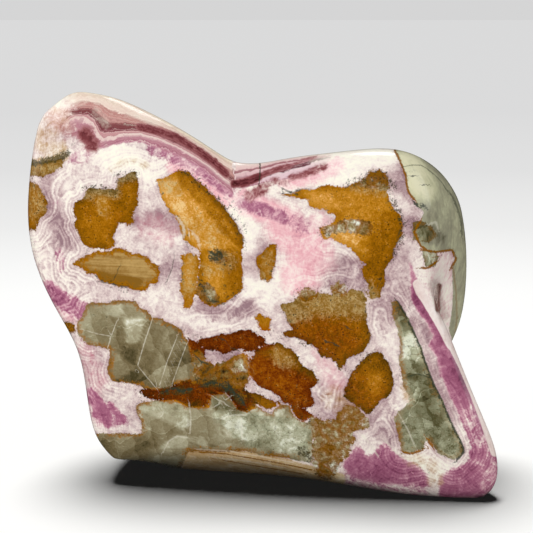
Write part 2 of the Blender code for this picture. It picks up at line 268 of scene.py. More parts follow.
# Colour laid over the stone in soft strokes, by tint: strength, radius in chart units, and a line.
WASHES = {
    "wine": (
        (0.95, 4, ((140, 127), (158, 131), (176, 137), (196, 149), (214, 162), (226, 174))),
        (0.9, 8, ((86, 134), (92, 144))),
        (0.72, 4, ((292, 177), (301, 175), (314, 171), (324, 166))),
        (0.6, 4, ((267, 183), (276, 180), (286, 183))),
        (1.2, 4, ((235, 184), (246, 182), (258, 177))),
        (0.86, 3, ((258, 177), (272, 171), (288, 166))),
        (0.62, 2, ((288, 166), (302, 161), (316, 157))),
        (0.75, 6, ((250, 196), (264, 188))),
        (0.4, 7, ((64, 130), (80, 134))),
    ),
    "magenta": (
        (0.55, 7, ((154, 150), (174, 157), (196, 167), (214, 180), (230, 192))),
        (0.4, 8, ((74, 160), (88, 152))),
        (0.6, 7, ((243, 203), (262, 209), (282, 217))),
        (0.4, 9, ((282, 216), (304, 226))),
        (0.22, 7, ((288, 240), (314, 244))),
        (0.95, 8, ((48, 289), (60, 299))),
        (0.65, 10, ((56, 298), (86, 312))),
        (0.95, 6, ((89, 394), (96, 402), (104, 412), (107, 419))),
        (0.8, 4, ((96, 412), (108, 424))),
        (0.7, 4, ((110, 406), (124, 420))),
        (0.3, 5, ((57, 203), (60, 204))),
        (0.4, 5, ((60, 253), (61, 269))),
    ),
    "pink": (
        (0.9, 8, ((286, 182), (314, 176), (338, 164))),
        (0.9, 9, ((176, 166), (202, 178), (228, 200))),
        (1.0, 12, ((244, 202), (262, 209), (284, 218))),
        (0.85, 20, ((284, 226), (308, 250), (300, 276))),
        (0.6, 14, ((318, 226), (322, 262))),
        (0.75, 10, ((176, 140), (214, 166), (230, 180))),
        (0.55, 14, ((60, 118), (92, 112))),
        (0.6, 12, ((62, 308), (96, 316))),
        (0.42, 12, ((84, 352), (98, 382))),
        (0.4, 12, ((250, 170), (330, 164))),
        (0.45, 14, ((150, 226), (166, 232))),
        (0.5, 12, ((322, 350), (336, 384))),
        (0.45, 16, ((440, 262), (446, 330))),
    ),
    "mauve": (
        (0.4, 14, ((88, 356), (94, 390))),
        (0.65, 9, ((140, 220), (156, 218), (174, 226))),
        (0.55, 7, ((160, 276), (172, 266))),
        (0.7, 7, ((202, 306), (220, 314), (240, 314), (252, 306))),
        (0.7, 10, ((52, 204), (66, 240))),
        (0.6, 5, ((332, 264), (350, 262), (364, 268))),
        (0.45, 12, ((334, 276), (360, 280))),
        (0.65, 11, ((398, 176), (412, 226))),
        (0.55, 14, ((396, 262), (400, 292), (386, 312))),
        (0.6, 8, ((414, 322), (430, 340), (442, 382), (452, 414))),
        (0.55, 18, ((334, 402), (346, 416))),
        (0.45, 14, ((376, 400), (388, 432))),
        (0.7, 7, ((204, 354), (234, 356))),
        (0.5, 8, ((48, 176), (50, 196))),
        (0.45, 9, ((262, 246), (254, 270))),
        (0.4, 12, ((52, 132), (70, 134))),
    ),
    "cream": (
        (0.4, 14, ((434, 268), (444, 320))),
        (0.65, 13, ((112, 158), (136, 158), (152, 170))),
        (0.8, 7, ((56, 104), (90, 96), (128, 106), (156, 122))),
        (0.85, 10, ((318, 158), (352, 156), (388, 158))),
        (0.6, 12, ((330, 176), (384, 164))),
        (0.7, 7, ((236, 206), (250, 228), (250, 246))),
        (0.65, 12, ((250, 286), (286, 284))),
        (0.75, 9, ((392, 200), (402, 208))),
        (0.6, 8, ((330, 470), (350, 478))),
        (0.3, 12, ((414, 460), (436, 470))),
        (0.62, 6, ((97, 112), (106, 124))),
        (0.5, 6, ((280, 176), (286, 188), (272, 192))),
    ),
    "tan": (
        (0.36, 9, ((412, 458), (432, 466), (436, 480))),
        (0.55, 9, ((182, 376), (196, 374))),
        (0.5, 8, ((408, 388), (412, 400))),
        (0.42, 12, ((46, 136), (60, 118), (78, 124))),
        (0.34, 4, ((112, 170), (121, 163), (134, 160), (146, 166))),
        (0.4, 12, ((334, 398), (346, 410))),
        (0.7, 5, ((34, 164), (52, 160), (64, 156))),
        (0.5, 8, ((42, 146), (60, 148))),
    ),
    "moss": (
        (0.42, 6, ((424, 466), (436, 480), (432, 490))),
        (1.3, 4, ((32, 163), (44, 161), (56, 158), (66, 154))),
        (0.6, 5, ((66, 152), (72, 146))),
        (0.75, 5, ((84, 187), (98, 187), (114, 190))),
        (0.7, 5, ((118, 175), (128, 172), (136, 173))),
        (0.74, 5, ((178, 171), (192, 176), (208, 191), (224, 207), (238, 228), (243, 244))),
        (0.66, 5, ((228, 198), (238, 212), (245, 230))),
        (0.84, 4, ((200, 278), (203, 290), (208, 300), (222, 303), (234, 295))),
        (0.8, 4, ((222, 262), (227, 274), (224, 288))),
        (0.85, 7, ((350, 185), (366, 178), (380, 176), (391, 186))),
        (0.86, 5, ((392, 200), (398, 212), (403, 226), (400, 242), (392, 260))),
        (0.65, 6, ((300, 340), (316, 346))),
        (1.05, 5, ((164, 391), (190, 390))),
        (1.05, 6, ((203, 383), (226, 385), (242, 401))),
        (0.7, 7, ((196, 360), (206, 372), (216, 382))),
        (0.7, 6, ((284, 404), (312, 424))),
        (0.7, 5, ((380, 280), (372, 292))),
        (0.55, 6, ((234, 188), (244, 198))),
        (0.6, 6, ((320, 232), (328, 236))),
        (0.8, 4, ((282, 195), (294, 193), (306, 190))),
        (0.72, 5, ((98, 278), (112, 284), (126, 290))),
        (0.52, 5, ((283, 174), (288, 184), (278, 190))),
        (0.55, 7, ((122, 286), (134, 288))),
        (0.55, 5, ((400, 304), (408, 312), (416, 324))),
        (0.38, 7, ((62, 122), (80, 132))),
        (1.1, 5, ((301, 450), (309, 458))),
        (0.55, 4, ((274, 451), (286, 455))),
        (0.5, 7, ((86, 312), (100, 318), (106, 332))),
        (0.5, 5, ((110, 316), (124, 330), (134, 350))),
        (0.8, 4, ((196, 379), (214, 384), (232, 394), (240, 402))),
        (0.5, 7, ((31, 240), (36, 262))),
    ),
    "frost": (
        (0.9, 22, ((258, 424), (282, 436), (304, 440))),
        (0.6, 9, ((148, 406), (166, 404), (182, 412), (182, 422))),
        (0.8, 12, ((406, 434), (420, 440), (446, 440), (456, 450))),
    ),
    # Painted highlight: a pale line along the wing's crest, where its edge catches the light.
    "ridge": (
        (1.0, 4, ((417, 284), (420, 292), (426, 301), (432, 311), (438, 321), (444, 332), (451, 346))),
        (0.8, 3, ((451, 346), (462, 368), (473, 394), (484, 424), (494, 454))),
    ),
    # Painted shade: the dark recess behind the wing's crest, deepest along its middle line.
    "hollow": (
        (1.0, 3, ((439, 286), (437, 298), (438, 310))),
        (0.5, 6, ((433, 284), (444, 316))),
    ),
    "ember": (
        (1.0, 13, ((196, 345), (222, 344), (262, 338))),
        (1.0, 18, ((258, 372), (284, 384), (310, 400), (312, 418))),
        (0.75, 12, ((150, 394), (196, 392), (240, 402))),
        (0.55, 22, ((300, 330), (340, 340))),
        (0.45, 18, ((350, 380), (368, 392))),
        (0.3, 16, ((92, 220), (116, 222))),
    ),
}

# Larger coloured areas: tint, strength, softness of the border in chart units, and an outline.
AREAS = (
    # The tan strip along the bottom edge is partly the stone's own tan and partly painted bounce light from the
    # floor, made paler for it.
    ("tan", 0.95, 3, ((182, 456), (190, 449), (205, 446), (228, 449), (256, 452), (283, 458), (306, 464),
     (345, 474), (345, 500), (280, 494), (182, 480))),
    ("magenta", 0.95, 5, ((410, 262), (418, 282), (424, 300), (434, 310), (444, 326), (453, 344), (460, 362),
     (468, 384), (473, 398), (470, 410), (458, 412), (450, 396), (442, 376), (436, 356), (428, 346), (434, 336),
     (428, 324), (418, 312), (411, 298))),
    ("magenta", 0.57, 5, ((438, 372), (446, 390), (456, 412), (462, 426), (468, 440), (472, 452), (466, 462),
     (450, 470), (442, 482), (440, 505), (515, 505), (505, 466), (488, 424), (470, 384), (452, 350), (440, 350))),
    ("magenta", 0.92, 8, ((440, 478), (452, 468), (470, 462), (484, 464), (484, 500), (438, 500))),
    ("magenta", 0.5, 6, ((480, 462), (500, 460), (510, 490), (480, 502))),
    ("magenta", 0.8, 4, ((468, 450), (478, 446), (488, 448), (487, 460), (470, 461))),
    ("magenta", 0.95, 8, ((342, 466), (350, 452), (360, 446), (368, 457), (374, 452), (384, 443), (400, 457),
     (416, 464), (428, 474), (428, 487), (400, 486), (374, 483), (350, 478))),
    ("magenta", 0.46, 8, ((334, 472), (352, 462), (366, 472), (400, 478), (428, 480), (428, 502), (334, 498))),
    ("magenta", 0.5, 9, ((84, 398), (94, 397), (106, 403), (122, 412), (132, 426), (112, 430), (96, 428), (88, 420))),
    ("mauve", 0.75, 6, ((416, 318), (428, 322), (434, 334), (432, 348), (424, 346))),
)

# Fine dark green veins: half width in mm, strength, line.
INK = (
    (0.26, 0.9, ((260, 164), (260, 172), (259, 183))),
    (0.18, 0.6, ((174, 258), (172, 269), (167, 281))),
    (0.2, 0.6, ((100, 282), (112, 284), (127, 287))),
    (0.18, 0.6, ((119, 267), (117, 273), (114, 279))),
    (0.18, 0.6, ((403, 167), (412, 165), (421, 165), (429, 170), (437, 177), (443, 184), (446, 189))),
    (0.34, 0.6, ((445, 188), (452, 196), (457, 207), (461, 220), (462, 236))),
    (0.4, 0.8, ((326, 341), (328, 342))),
    (0.4, 0.8, ((334, 344), (337, 345))),
    (0.35, 0.7, ((346, 327), (348, 328))),
    (0.22, 0.6, ((282, 188), (292, 193), (300, 190))),
    (0.42, 0.9, ((397, 301), (402, 309), (408, 320), (414, 333), (421, 349), (427, 367), (433, 383), (441, 399),
     (449, 418), (455, 431), (463, 446), (464, 452), (457, 460))),
    (0.28, 0.7, ((410, 376), (418, 374), (426, 376))),
    (0.55, 0.9, ((415, 203), (417, 205))),
    (0.55, 0.9, ((423, 205), (425, 207))),
    (0.3, 0.8, ((412, 176), (414, 176))),
    (0.3, 0.8, ((424, 185), (426, 185))),
    (0.45, 0.9, ((221, 339), (223, 340))),
    (0.45, 0.9, ((234, 349), (236, 350))),
    (0.42, 0.9, ((166, 391), (174, 388), (182, 391), (190, 389))),
    (0.4, 0.9, ((204, 385), (212, 382), (220, 384), (228, 391))),
    (0.44, 0.9, ((228, 384), (234, 393), (240, 397), (244, 404))),
    (0.34, 0.8, ((196, 356), (200, 361), (208, 364))),
    (0.6, 0.9, ((212, 253), (217, 255))),
    (0.52, 0.9, ((219, 251), (222, 256))),
    (0.45, 0.9, ((211, 258), (215, 260), (220, 259))),
    (0.4, 0.8, ((201, 284), (204, 289))),
    (0.4, 0.8, ((212, 301), (217, 302))),
)

# Pale lines: cleavage in the smoky fragments, white bands in the calcite.
CHALK = (
    (0.18, 0.75, ((117, 321), (112, 334), (108, 347))),
    (0.18, 0.75, ((152, 320), (144, 344), (137, 368))),
    (0.16, 0.75, ((177, 337), (167, 362), (160, 384))),
    (0.16, 0.7, ((187, 343), (180, 362), (172, 384))),
    (0.18, 0.6, ((138, 366), (146, 376), (156, 388))),
    (0.18, 0.55, ((84, 330), (98, 334), (110, 336))),
    (0.4, 0.75, ((384, 440), (400, 456), (417, 462), (427, 466))),
    (0.35, 0.65, ((361, 434), (370, 444), (378, 456))),
    (0.3, 0.7, ((223, 418), (233, 415), (246, 415))),
    (0.25, 0.7, ((241, 417), (242, 428), (242, 439))),
    (0.2, 0.6, ((213, 397), (222, 402), (230, 407))),
    (0.2, 0.6, ((230, 397), (222, 402), (214, 407))),
    (0.28, 0.6, ((189, 404), (191, 418), (190, 432))),
    (0.28, 0.6, ((163, 452), (169, 441), (177, 436), (189, 438))),
    (0.55, 0.75, ((178, 218), (184, 228), (184, 236))),
    (0.55, 0.75, ((192, 232), (198, 238), (199, 246))),
    (0.3, 0.6, ((400, 416), (408, 430), (414, 444))),
    (0.45, 0.6, ((430, 224), (436, 222), (438, 228))),
    (0.3, 0.55, ((196, 449), (228, 451), (258, 456), (296, 463))),
    (0.26, 0.5, ((212, 457), (246, 461), (286, 468))),
)

# Rust-brown veins and rims.
RUST = (
    (0.42, 1.0, ((395, 151), (399, 159), (403, 168), (406, 177), (407, 187), (409, 193), (414, 199))),
    (0.45, 0.9, ((420, 222), (414, 232), (420, 245), (426, 250))),
    (0.45, 0.9, ((423, 250), (436, 252), (444, 251), (452, 250), (456, 259), (451, 268))),
    (0.45, 0.9, ((421, 268), (428, 268), (436, 262))),
    (0.45, 0.8, ((404, 452), (411, 454), (422, 450))),
    (0.5, 0.8, ((427, 439), (433, 447))),
    (0.24, 0.45, ((198, 452), (226, 454), (256, 459), (284, 464), (312, 470))),
    (0.2, 0.35, ((222, 460), (250, 465), (280, 470), (304, 474))),
    (0.3, 0.25, ((453, 266), (456, 292), (457, 318), (454, 344))),
)

# The layers under the polished top edge, on each side of the saddle: lines of equal age, from the edge down.
LEFT_LAYERS = (
    ((20, 160), (36, 135), (46, 108), (60, 98), (80, 92), (100, 95), (125, 101), (142, 108), (170, 126), (200, 143),
     (230, 162), (240, 165)),
    ((44, 124), (50, 120), (66, 106), (84, 102), (100, 105), (110, 114), (128, 118), (148, 123), (168, 130),
     (188, 141), (206, 153), (222, 165), (240, 178)),
    ((50, 130), (58, 124), (72, 114), (88, 113), (96, 120), (101, 130), (116, 130), (134, 129), (152, 133),
     (168, 139), (184, 146), (196, 153), (210, 164), (222, 173), (240, 187)),
    ((54, 138), (60, 130), (74, 118), (85, 118), (93, 125), (97, 133), (102, 142), (120, 136), (140, 134),
     (158, 139), (176, 147), (194, 157), (210, 167), (224, 179), (240, 193)),
    ((58, 150), (88, 148), (100, 152), (124, 146), (142, 146), (160, 154), (178, 160), (194, 166), (208, 177),
     (220, 188), (240, 203)),
)
RIGHT_LAYERS = (
    ((230, 163), (260, 162), (285, 158), (312, 155), (340, 152), (370, 150), (400, 150)),
    ((230, 173), (250, 170), (262, 168), (280, 163), (300, 160), (330, 156), (400, 154)),
    ((230, 182), (250, 179), (260, 176), (274, 170), (290, 166), (302, 164), (316, 158), (340, 156), (400, 157)),
    ((230, 191), (250, 188), (266, 184), (285, 182), (297, 178), (316, 170), (330, 162), (345, 160), (400, 160)),
)
SADDLE = 234
RIGHT_AGE = 5
OLDEST = 9

# Where rings in the calcite show plainly: strength, radius, line.
RINGED = (
    (1.0, 26, ((60, 200), (62, 232), (62, 262), (72, 292))),
    (0.7, 20, ((120, 162), (152, 166))),
    (0.8, 18, ((206, 312), (246, 316))),
    (1.0, 18, ((380, 404), (390, 430))),
    (1.0, 16, ((332, 396), (348, 414))),
    (0.8, 16, ((352, 336), (392, 300))),
    (0.8, 22, ((96, 352), (92, 384))),
    (0.7, 20, ((330, 270), (366, 276))),
    (0.6, 30, ((420, 460), (470, 440))),
)

KINDS = ("orange", "straw", "smoke", "jade", "druse")
MIDDLE_TONE = 0.5
TINTS = ("wine", "magenta", "pink", "mauve", "cream", "tan", "moss", "frost", "ridge", "hollow", "ember")

# ---------------------------------------------------------------------------
# The hidden sides and the back. Each cloud has a size in mm, a shift and a height.
# ---------------------------------------------------------------------------
# How much of the hidden sides each tint leaves free, from -1, none of it, to 1, all.
# Of these tints, the one for the recess behind the wing's crest is painted shade and the one for the crest is a
# painted highlight, also where clouds scatter them over the hidden sides.
SPARSE = {"wine": 0.30, "magenta": 0.18, "pink": 0.02, "mauve": 0.05, "cream": 0.12, "tan": 0.34, "moss": 0.52,
          "frost": 0.0, "ridge": 0.5, "hollow": 0.6, "ember": -0.1}
TINT_CLOUD = 26
TINT_CLOUD_FROM = (7.3, 1.7, 4.1)
TINT_SOFT = 0.3
TINT_HIDDEN = 0.9
RINGED_HIDDEN = 0.6
SAGE_CLOUD = ((22, (3.3, 8.1, 0.4), 1.0),)
SAGE_HIDDEN = (-0.1, 0.3)

# The front's pattern strays by this many mm once it is STRAY_FROM mm past the seen edge.
STRAY_CLOUD = 7.0
STRAY_CLOUD_FROM = (3.1, 2.2, 5.8)
STRAY = 14
STRAY_FROM = 9
FADE_RAGGED = 6

# Random angular fragments: how many, how far apart in mm, their sizes, and how each is stretched and cut.
SHARD_SEED = 23
SHARD_COUNT = 26
SHARD_GAP = 18.0
SHARD_APART = 3.0
SHARD_INSIDE = 0.6
SHARD_SIZES = (5.0, 11.0)
SHARD_STRETCH = (0.2, 0.5)
SHARD_FACES = 9
SHARD_CUT = (0.6, 1.05)
SHARD_TONES = (0.2, 0.75)
SHARD_RAGGED = ((2.6, (5.1, 0.7, 2.9), 1.5), (1.1, (1.9, 6.3, 4.7), 0.5))
SHARD_KINDS = ("orange", "orange", "orange", "smoke", "smoke", "smoke", "orange", "druse", "orange", "straw")

# The top's layers: where they show on the chart at the left and the right, by age and by u, and over the top,
# by height, by side and by reach in mm.
LEFT_SHOWN = ((4.0, 3.4), (46, 92))
RIGHT_SHOWN = ((3.0, 2.7), (352, 305))
TOP_SHOWN = ((80, 96), (60, 30), (36, 24))
TOP_WANDER = ((17, (0.6, 4.4, 7.2), 6), (5, (3.6, 1.4, 0.2), 1.2))
TOP_RAGGED = ((14, (2.6, 0.4, 3.2), 14),)
# Over the top the layers' age swings between 0 and this, once in so many mm.
HIDDEN_AGE = 4
HIDDEN_LAYERS = 23.0
# A step in age between neighbouring points that is a tear, and how young the topmost layers are.
TORN = 1.6
TOPMOST = 0.6

# ---------------------------------------------------------------------------
# The finer copy of the solid, and how distances on it are worked out.
# ---------------------------------------------------------------------------
TOUCHING = 1e-6
QUAD_BEND = math.radians(40)
QUAD_SKEW = math.radians(60)
SOFT_BEND = math.radians(35)
FINER = 2
# A ray from the camera sees a point if it ends this near to it, in mm. Reach then spreads from point to point.
SEEN_WITHIN = 0.4
UNREACHED = 200.0
REACH_STEPS = 150
# What keeps a slope steady where the surface gives it little to go by.
STEADY = 0.05
# Strokes, tone changes, facets and areas fade out between these shares of their radius or softness.
STROKE_FADE = (1.7, 0.45)
TONE_FADE = (1.6, 0.5)
AREA_FADE = 0.7
FACET_SOFT = 1.2
SAGE_SOFT = 4
# Veins: how far round a line they are worked out in chart units, the most half widths kept, and their ends in mm.
VEIN_FRINGE = 10
VEIN_SIDE = 9.0
VEIN_FADE = (2.0, 1.0)
ENDLESS = 1e9
SHORTEST = 1e-9


def deselect_all():
    """Leaves nothing selected, so that the next operator acts on its own piece alone."""
    if bpy.context.object and bpy.context.object.mode != "OBJECT":
        bpy.ops.object.mode_set(mode="OBJECT")
    bpy.ops.object.select_all(action="DESELECT")


def take(piece):
    """Makes a piece the only one selected, and active."""
    deselect_all()
    piece.select_set(True)
    bpy.context.view_layer.objects.active = piece


# --- the stone's mesh --------------------------------------------------------
def polished_copy(node):
    """A finer copy of the solid, merged, made quads and subdivided, with the ground flat kept flat."""
    take(node)
    bpy.ops.object.duplicate()
    piece = bpy.context.object
    piece.name = "polished_calcite"
    piece.data.name = "polished_calcite"
    bpy.ops.object.mode_set(mode="EDIT")
    bpy.ops.mesh.select_all(action="SELECT")
    bpy.ops.mesh.remove_doubles(threshold=TOUCHING)
    bpy.ops.mesh.tris_convert_to_quads(face_threshold=QUAD_BEND, shape_threshold=QUAD_SKEW)
    bpy.ops.mesh.select_all(action="DESELECT")
    bpy.ops.object.mode_set(mode="OBJECT")
    low = min(v.co.z for v in piece.data.vertices)
    flat = set()
    for face in piece.data.polygons:
        if all(piece.data.vertices[i].co.z < low + TOUCHING for i in face.vertices):
            flat.update(face.edge_keys)
    for edge in piece.data.edges:
        edge.select = tuple(sorted(edge.vertices)) in flat
    bpy.ops.object.mode_set(mode="EDIT")
    bpy.ops.mesh.select_mode(type="EDGE")
    bpy.ops.transform.edge_crease(value=1.0)
    bpy.ops.object.mode_set(mode="OBJECT")
    bpy.ops.object.modifier_add(type="SUBSURF")
    finer = piece.modifiers[-1]
    finer.levels = FINER
    finer.render_levels = FINER
    bpy.ops.object.modifier_apply(modifier=finer.name)
    bpy.ops.object.shade_smooth_by_angle(angle=SOFT_BEND)
    return piece


# --- distances on the chart --------------------------------------------------
def chart_of(points):
    """Where points, in mm, fall on the front chart."""
    ray = points - np.array(camera_place()) / MM
    away = ray[:, 1] * math.cos(CAMERA_TILT) - ray[:, 2] * math.sin(CAMERA_TILT)
    up = ray[:, 1] * math.sin(CAMERA_TILT) + ray[:, 2] * math.cos(CAMERA_TILT)
    u = CHART / 2 + CHART_LENS * ray[:, 0] / away
    v = CHART / 2 - CHART_LENS * up / away
    return np.stack((u, v), 1)


def camera_place():
    """The camera's place, from its aim, range and tilt."""
    return CAMERA_AIM + Vector((0, -math.cos(CAMERA_TILT), math.sin(CAMERA_TILT))) * CAMERA_RANGE


def edges_of(mesh):
    """The two ends of every edge, as two rows of numbers."""
    ends = np.empty(len(mesh.edges) * 2, np.int64)
    mesh.edges.foreach_get("vertices", ends)
    return ends.reshape(-1, 2).T


def reach_of(piece, points):
    """0 where the camera sees a point, and otherwise how far along the surface the nearest seen point is, in mm."""
    tree = BVHTree.FromPolygons([v.co for v in piece.data.vertices], [tuple(f.vertices) for f in piece.data.polygons])
    eye = camera_place()
    reach = np.full(len(points), UNREACHED)
    for vertex in piece.data.vertices:
        hit = tree.ray_cast(eye, (vertex.co - eye).normalized())
        if hit[0] is not None and (hit[0] - vertex.co).length < SEEN_WITHIN * MM:
            reach[vertex.index] = 0
    a, b = edges_of(piece.data)
    length = np.linalg.norm(points[a] - points[b], axis=1)
    for _ in range(REACH_STEPS):
        np.minimum.at(reach, a, reach[b] + length)
        np.minimum.at(reach, b, reach[a] + length)
    return reach


def slope_of(mesh, points, values):
    """The direction, along the surface, in which a value grows fastest at each point."""
    a, b = edges_of(mesh)
    run, rise = points[b] - points[a], values[b] - values[a]
    square, pull = np.zeros((len(points), 3, 3)), np.zeros((len(points), 3))
    for end in (a, b):
        np.add.at(square, end, run[:, :, None] * run[:, None, :])
        np.add.at(pull, end, run * rise[:, None])
    slope = np.linalg.solve(square + np.eye(3) * STEADY, pull[:, :, None])[:, :, 0]
    return slope / np.maximum(np.linalg.norm(slope, axis=1), STEADY)[:, None]


def smooth(value, low, high):
    """0 below low, 1 above high, and an even curve between; the other way round where low is the greater."""
    t = np.clip((value - low) / (high - low), 0, 1)
    return t * t * (3 - 2 * t)


def to_line(uv, line):
    """Distance of each chart point from a line of points, and on which side of it the point lies."""
    best = np.full(len(uv), ENDLESS)
    side = np.ones(len(uv))
    for a, b in zip(line[:-1], line[1:]):
        a, run = np.array(a, float), np.subtract(b, a).astype(float)
        rel = uv - a
        t = np.clip(rel @ run / max(run @ run, SHORTEST), 0, 1)
        gap = np.hypot(*(rel - t[:, None] * run).T)
        nearer = gap < best
        best[nearer] = gap[nearer]
        side[nearer] = np.sign(rel[nearer, 0] * run[1] - rel[nearer, 1] * run[0])
    return best, side


def within(uv, line, margin):
    """The chart points inside a line's box, widened by a margin."""
    low, high = np.min(line, 0) - margin, np.max(line, 0) + margin
    return np.where(np.all((uv > low) & (uv < high), axis=1))[0]


def to_outline(uv, outline):
    """Signed distance in chart units from a closed outline, less than 0 inside, for the points near it."""
    near = within(uv, outline, FRINGE)
    p = uv[near]
    gap, _ = to_line(p, outline + outline[:1])
    inside = np.zeros(len(p), bool)
    for (ax, ay), (bx, by) in zip(outline, outline[1:] + outline[:1]):
        crosses = (ay > p[:, 1]) != (by > p[:, 1])
        if by != ay:
            inside ^= crosses & (p[:, 0] < ax + (p[:, 1] - ay) * (bx - ax) / (by - ay))
    return near, np.where(inside, -gap, gap)


def stroke(uv, radius, line, fade):
    """The chart points near a soft stroke, and how strongly it covers each, from 0 to 1."""
    near = within(uv, line, radius * 2)
    gap, _ = to_line(uv[near], line)
    return near, smooth(gap, radius * fade[0], radius * fade[1])


def washed(uv, strokes):
    """The strongest of several soft strokes at each point."""
    total = np.zeros(len(uv))
    for strength, radius, line in strokes:
        near, cover = stroke(uv, radius, line, STROKE_FADE)
        total[near] = np.maximum(total[near], strength * cover)
    return total


def filled(total, uv, strength, soft, outline):
    """Raises a value to a strength inside an outline with a soft border."""
    rows, gap = to_outline(uv, outline)
    total[rows] = np.maximum(total[rows], strength * smooth(gap, soft, -soft))


def veins(uv, lines):
    """Signed distance from the nearest of several thin lines, in half widths, and how strongly it shows."""
    side, shown, best = np.full(len(uv), VEIN_SIDE), np.zeros(len(uv)), np.full(len(uv), ENDLESS)
    for half, strength, line in lines:
        near = within(uv, line, VEIN_FRINGE)
        gap, sign = to_line(uv[near], line)
        gap *= UNIT
        first = gap < best[near]
        rows = near[first]
        best[rows] = gap[first]
        side[rows] = np.clip(gap[first] * sign[first] / half, -VEIN_SIDE, VEIN_SIDE)
        shown[rows] = strength * smooth(gap[first], *VEIN_FADE)
    return side, shown


def cloud(points, size, shift):
    """Smooth random values of about -1 to 1 that change over a length in mm."""
    shift = Vector(shift)
    return np.array([noise.noise(Vector(p) / size + shift) for p in points])


def clouds(points, layers):
    """The sum of several clouds."""
    return sum(cloud(points, size, shift) * height for size, shift, height in layers)


def unit(vector):
    """A vector made one long."""
    return vector / np.linalg.norm(vector)


# --- what lies where on the stone -------------------------------------------
def add_fragment(fields, kind, tone, gap, rows):
    """Lays one fragment's distances over the fields so far."""
    fields[kind][rows] = np.minimum(fields[kind][rows], gap)
    first = gap < fields["closest"][rows]
    fields["closest"][rows] = np.minimum(fields["closest"][rows], gap)
    fields["tone"][rows[first]] = tone
    fields["crowd"][rows] += np.exp(-np.clip(gap, DEEP, FAR) / CROWDING)


def front_fragments(uv, reach, fields):
    """The fragments drawn on the front chart, each run a little way into the stone."""
    for kind, tone, thick, outline in FRAGMENTS:
        rows, gap = to_outline(uv, outline)
        gap = gap * UNIT
        beyond = reach[rows] - thick
        outside = np.hypot(np.maximum(gap, 0), np.maximum(beyond, 0))
        add_fragment(fields, kind, tone, np.where(outside > 0, outside, np.maximum(gap, beyond)), rows)


def shards(points, reach, fields):
    """Angular fragments for the sides and back that the front chart doesn't reach."""
    rng = np.random.RandomState(SHARD_SEED)
    middles = []
    for i in rng.permutation(np.where(reach > FADE[1])[0]):
        if all(np.linalg.norm(points[i] - m) > SHARD_GAP for m in middles):
            middles.append(points[i])
        if len(middles) == SHARD_COUNT:
            break
    ragged = clouds(points, SHARD_RAGGED)
    for middle in middles:
        size = rng.uniform(*SHARD_SIZES)
        long_way = unit(rng.normal(size=3))
        rel = points - middle
        rel = rel - np.outer(rel @ long_way, long_way) * rng.uniform(*SHARD_STRETCH)
        gap = np.maximum(FADE[1] * SHARD_INSIDE - reach, SHARD_APART - fields["closest"])
        for _ in range(SHARD_FACES):
            normal = unit(rng.normal(size=3))
            gap = np.maximum(gap, rel @ normal - size * rng.uniform(*SHARD_CUT))
        add_fragment(fields, rng.choice(SHARD_KINDS), rng.uniform(*SHARD_TONES), gap + ragged, np.arange(len(points)))


def tone_fields(uv, front, fields):
    """Lighter and darker parts, crystal faces, weathering and grey green inside the fragments."""
    for change, radius, line in TONE_CHANGES:
        near, cover = stroke(uv, radius, line, TONE_FADE)
        fields["tone"][near] += change * cover * front[near]
    for change, outline in FACETS:
        rows, gap = to_outline(uv, outline)
        fields["tone"][rows] += change * smooth(gap, FACET_SOFT, -FACET_SOFT) * front[rows]
    fields["dust"] = washed(uv, DUSTY) * front


def tint_fields(points, uv, front, fields):
    """How strongly each tint shows: as drawn on the front, and in clouds elsewhere."""
    sage = np.zeros(len(uv))
    for strength, outline in SAGE:
        filled(sage, uv, strength, SAGE_SOFT, outline)
    fields["sage"] = sage * front + (1 - front) * smooth(clouds(points, SAGE_CLOUD), *SAGE_HIDDEN)
    for row, tint in enumerate(TINTS):
        painted = washed(uv, WASHES.get(tint, ()))
        for name, strength, soft, outline in AREAS:
            if name == tint:
                filled(painted, uv, strength, soft * AREA_FADE, outline)
        patch = cloud(points, TINT_CLOUD, (row * TINT_CLOUD_FROM[0], *TINT_CLOUD_FROM[1:]))
        patch = smooth(patch, SPARSE[tint], SPARSE[tint] + TINT_SOFT)
        fields[tint] = painted * front + patch * (1 - front) * TINT_HIDDEN


def age_of(uv, layers):
    """How far down through a set of layers each chart point lies: 0 above the first, 1 on the second, and so on."""
    below = []
    for line in layers:
        gap, side = to_line(uv, line)
        below.append(-gap * side)
    age = np.zeros(len(uv))
    for upper, lower in zip(below[:-1], below[1:]):
        age += np.where(upper <= 0, 0, np.where(lower >= 0, 1, upper / np.maximum(upper - lower, TOUCHING)))
    return age


def layer_fields(mesh, uv, points, reach, fields):
    """The age of the layers along the top, and how plainly they show."""
    left, right = age_of(uv, LEFT_LAYERS), age_of(uv, RIGHT_LAYERS)
    is_left = uv[:, 0] < SADDLE
    wander = reach + clouds(points, TOP_WANDER)
    hidden = (1 - np.cos(2 * math.pi * wander / HIDDEN_LAYERS)) * (HIDDEN_AGE / 2)
    age = np.where(reach > 0, hidden, np.where(is_left, left, right + RIGHT_AGE))
    fields["age"] = age / OLDEST
    shown_left = smooth(left, *LEFT_SHOWN[0]) * smooth(uv[:, 0], *LEFT_SHOWN[1])
    shown_right = smooth(right, *RIGHT_SHOWN[0]) * smooth(uv[:, 0], *RIGHT_SHOWN[1])
    over = zip((points[:, 2] + clouds(points, TOP_RAGGED), points[:, 0], wander), TOP_SHOWN)
    shown_over = np.prod([smooth(value, *ends) for value, ends in over], axis=0)
    layered = np.where(reach > 0, shown_over, np.where(is_left, shown_left, shown_right))
    # Where two sets of layers meet out of step along the top, neither shows.
    a, b = edges_of(mesh)
    topmost = (reach > 0) | (np.where(is_left, left, right) < TOPMOST)
    torn = (np.abs(age[a] - age[b]) > TORN) & topmost[a] & topmost[b]
    layered[a[torn]] = 0
    layered[b[torn]] = 0
    fields["layered"] = layered


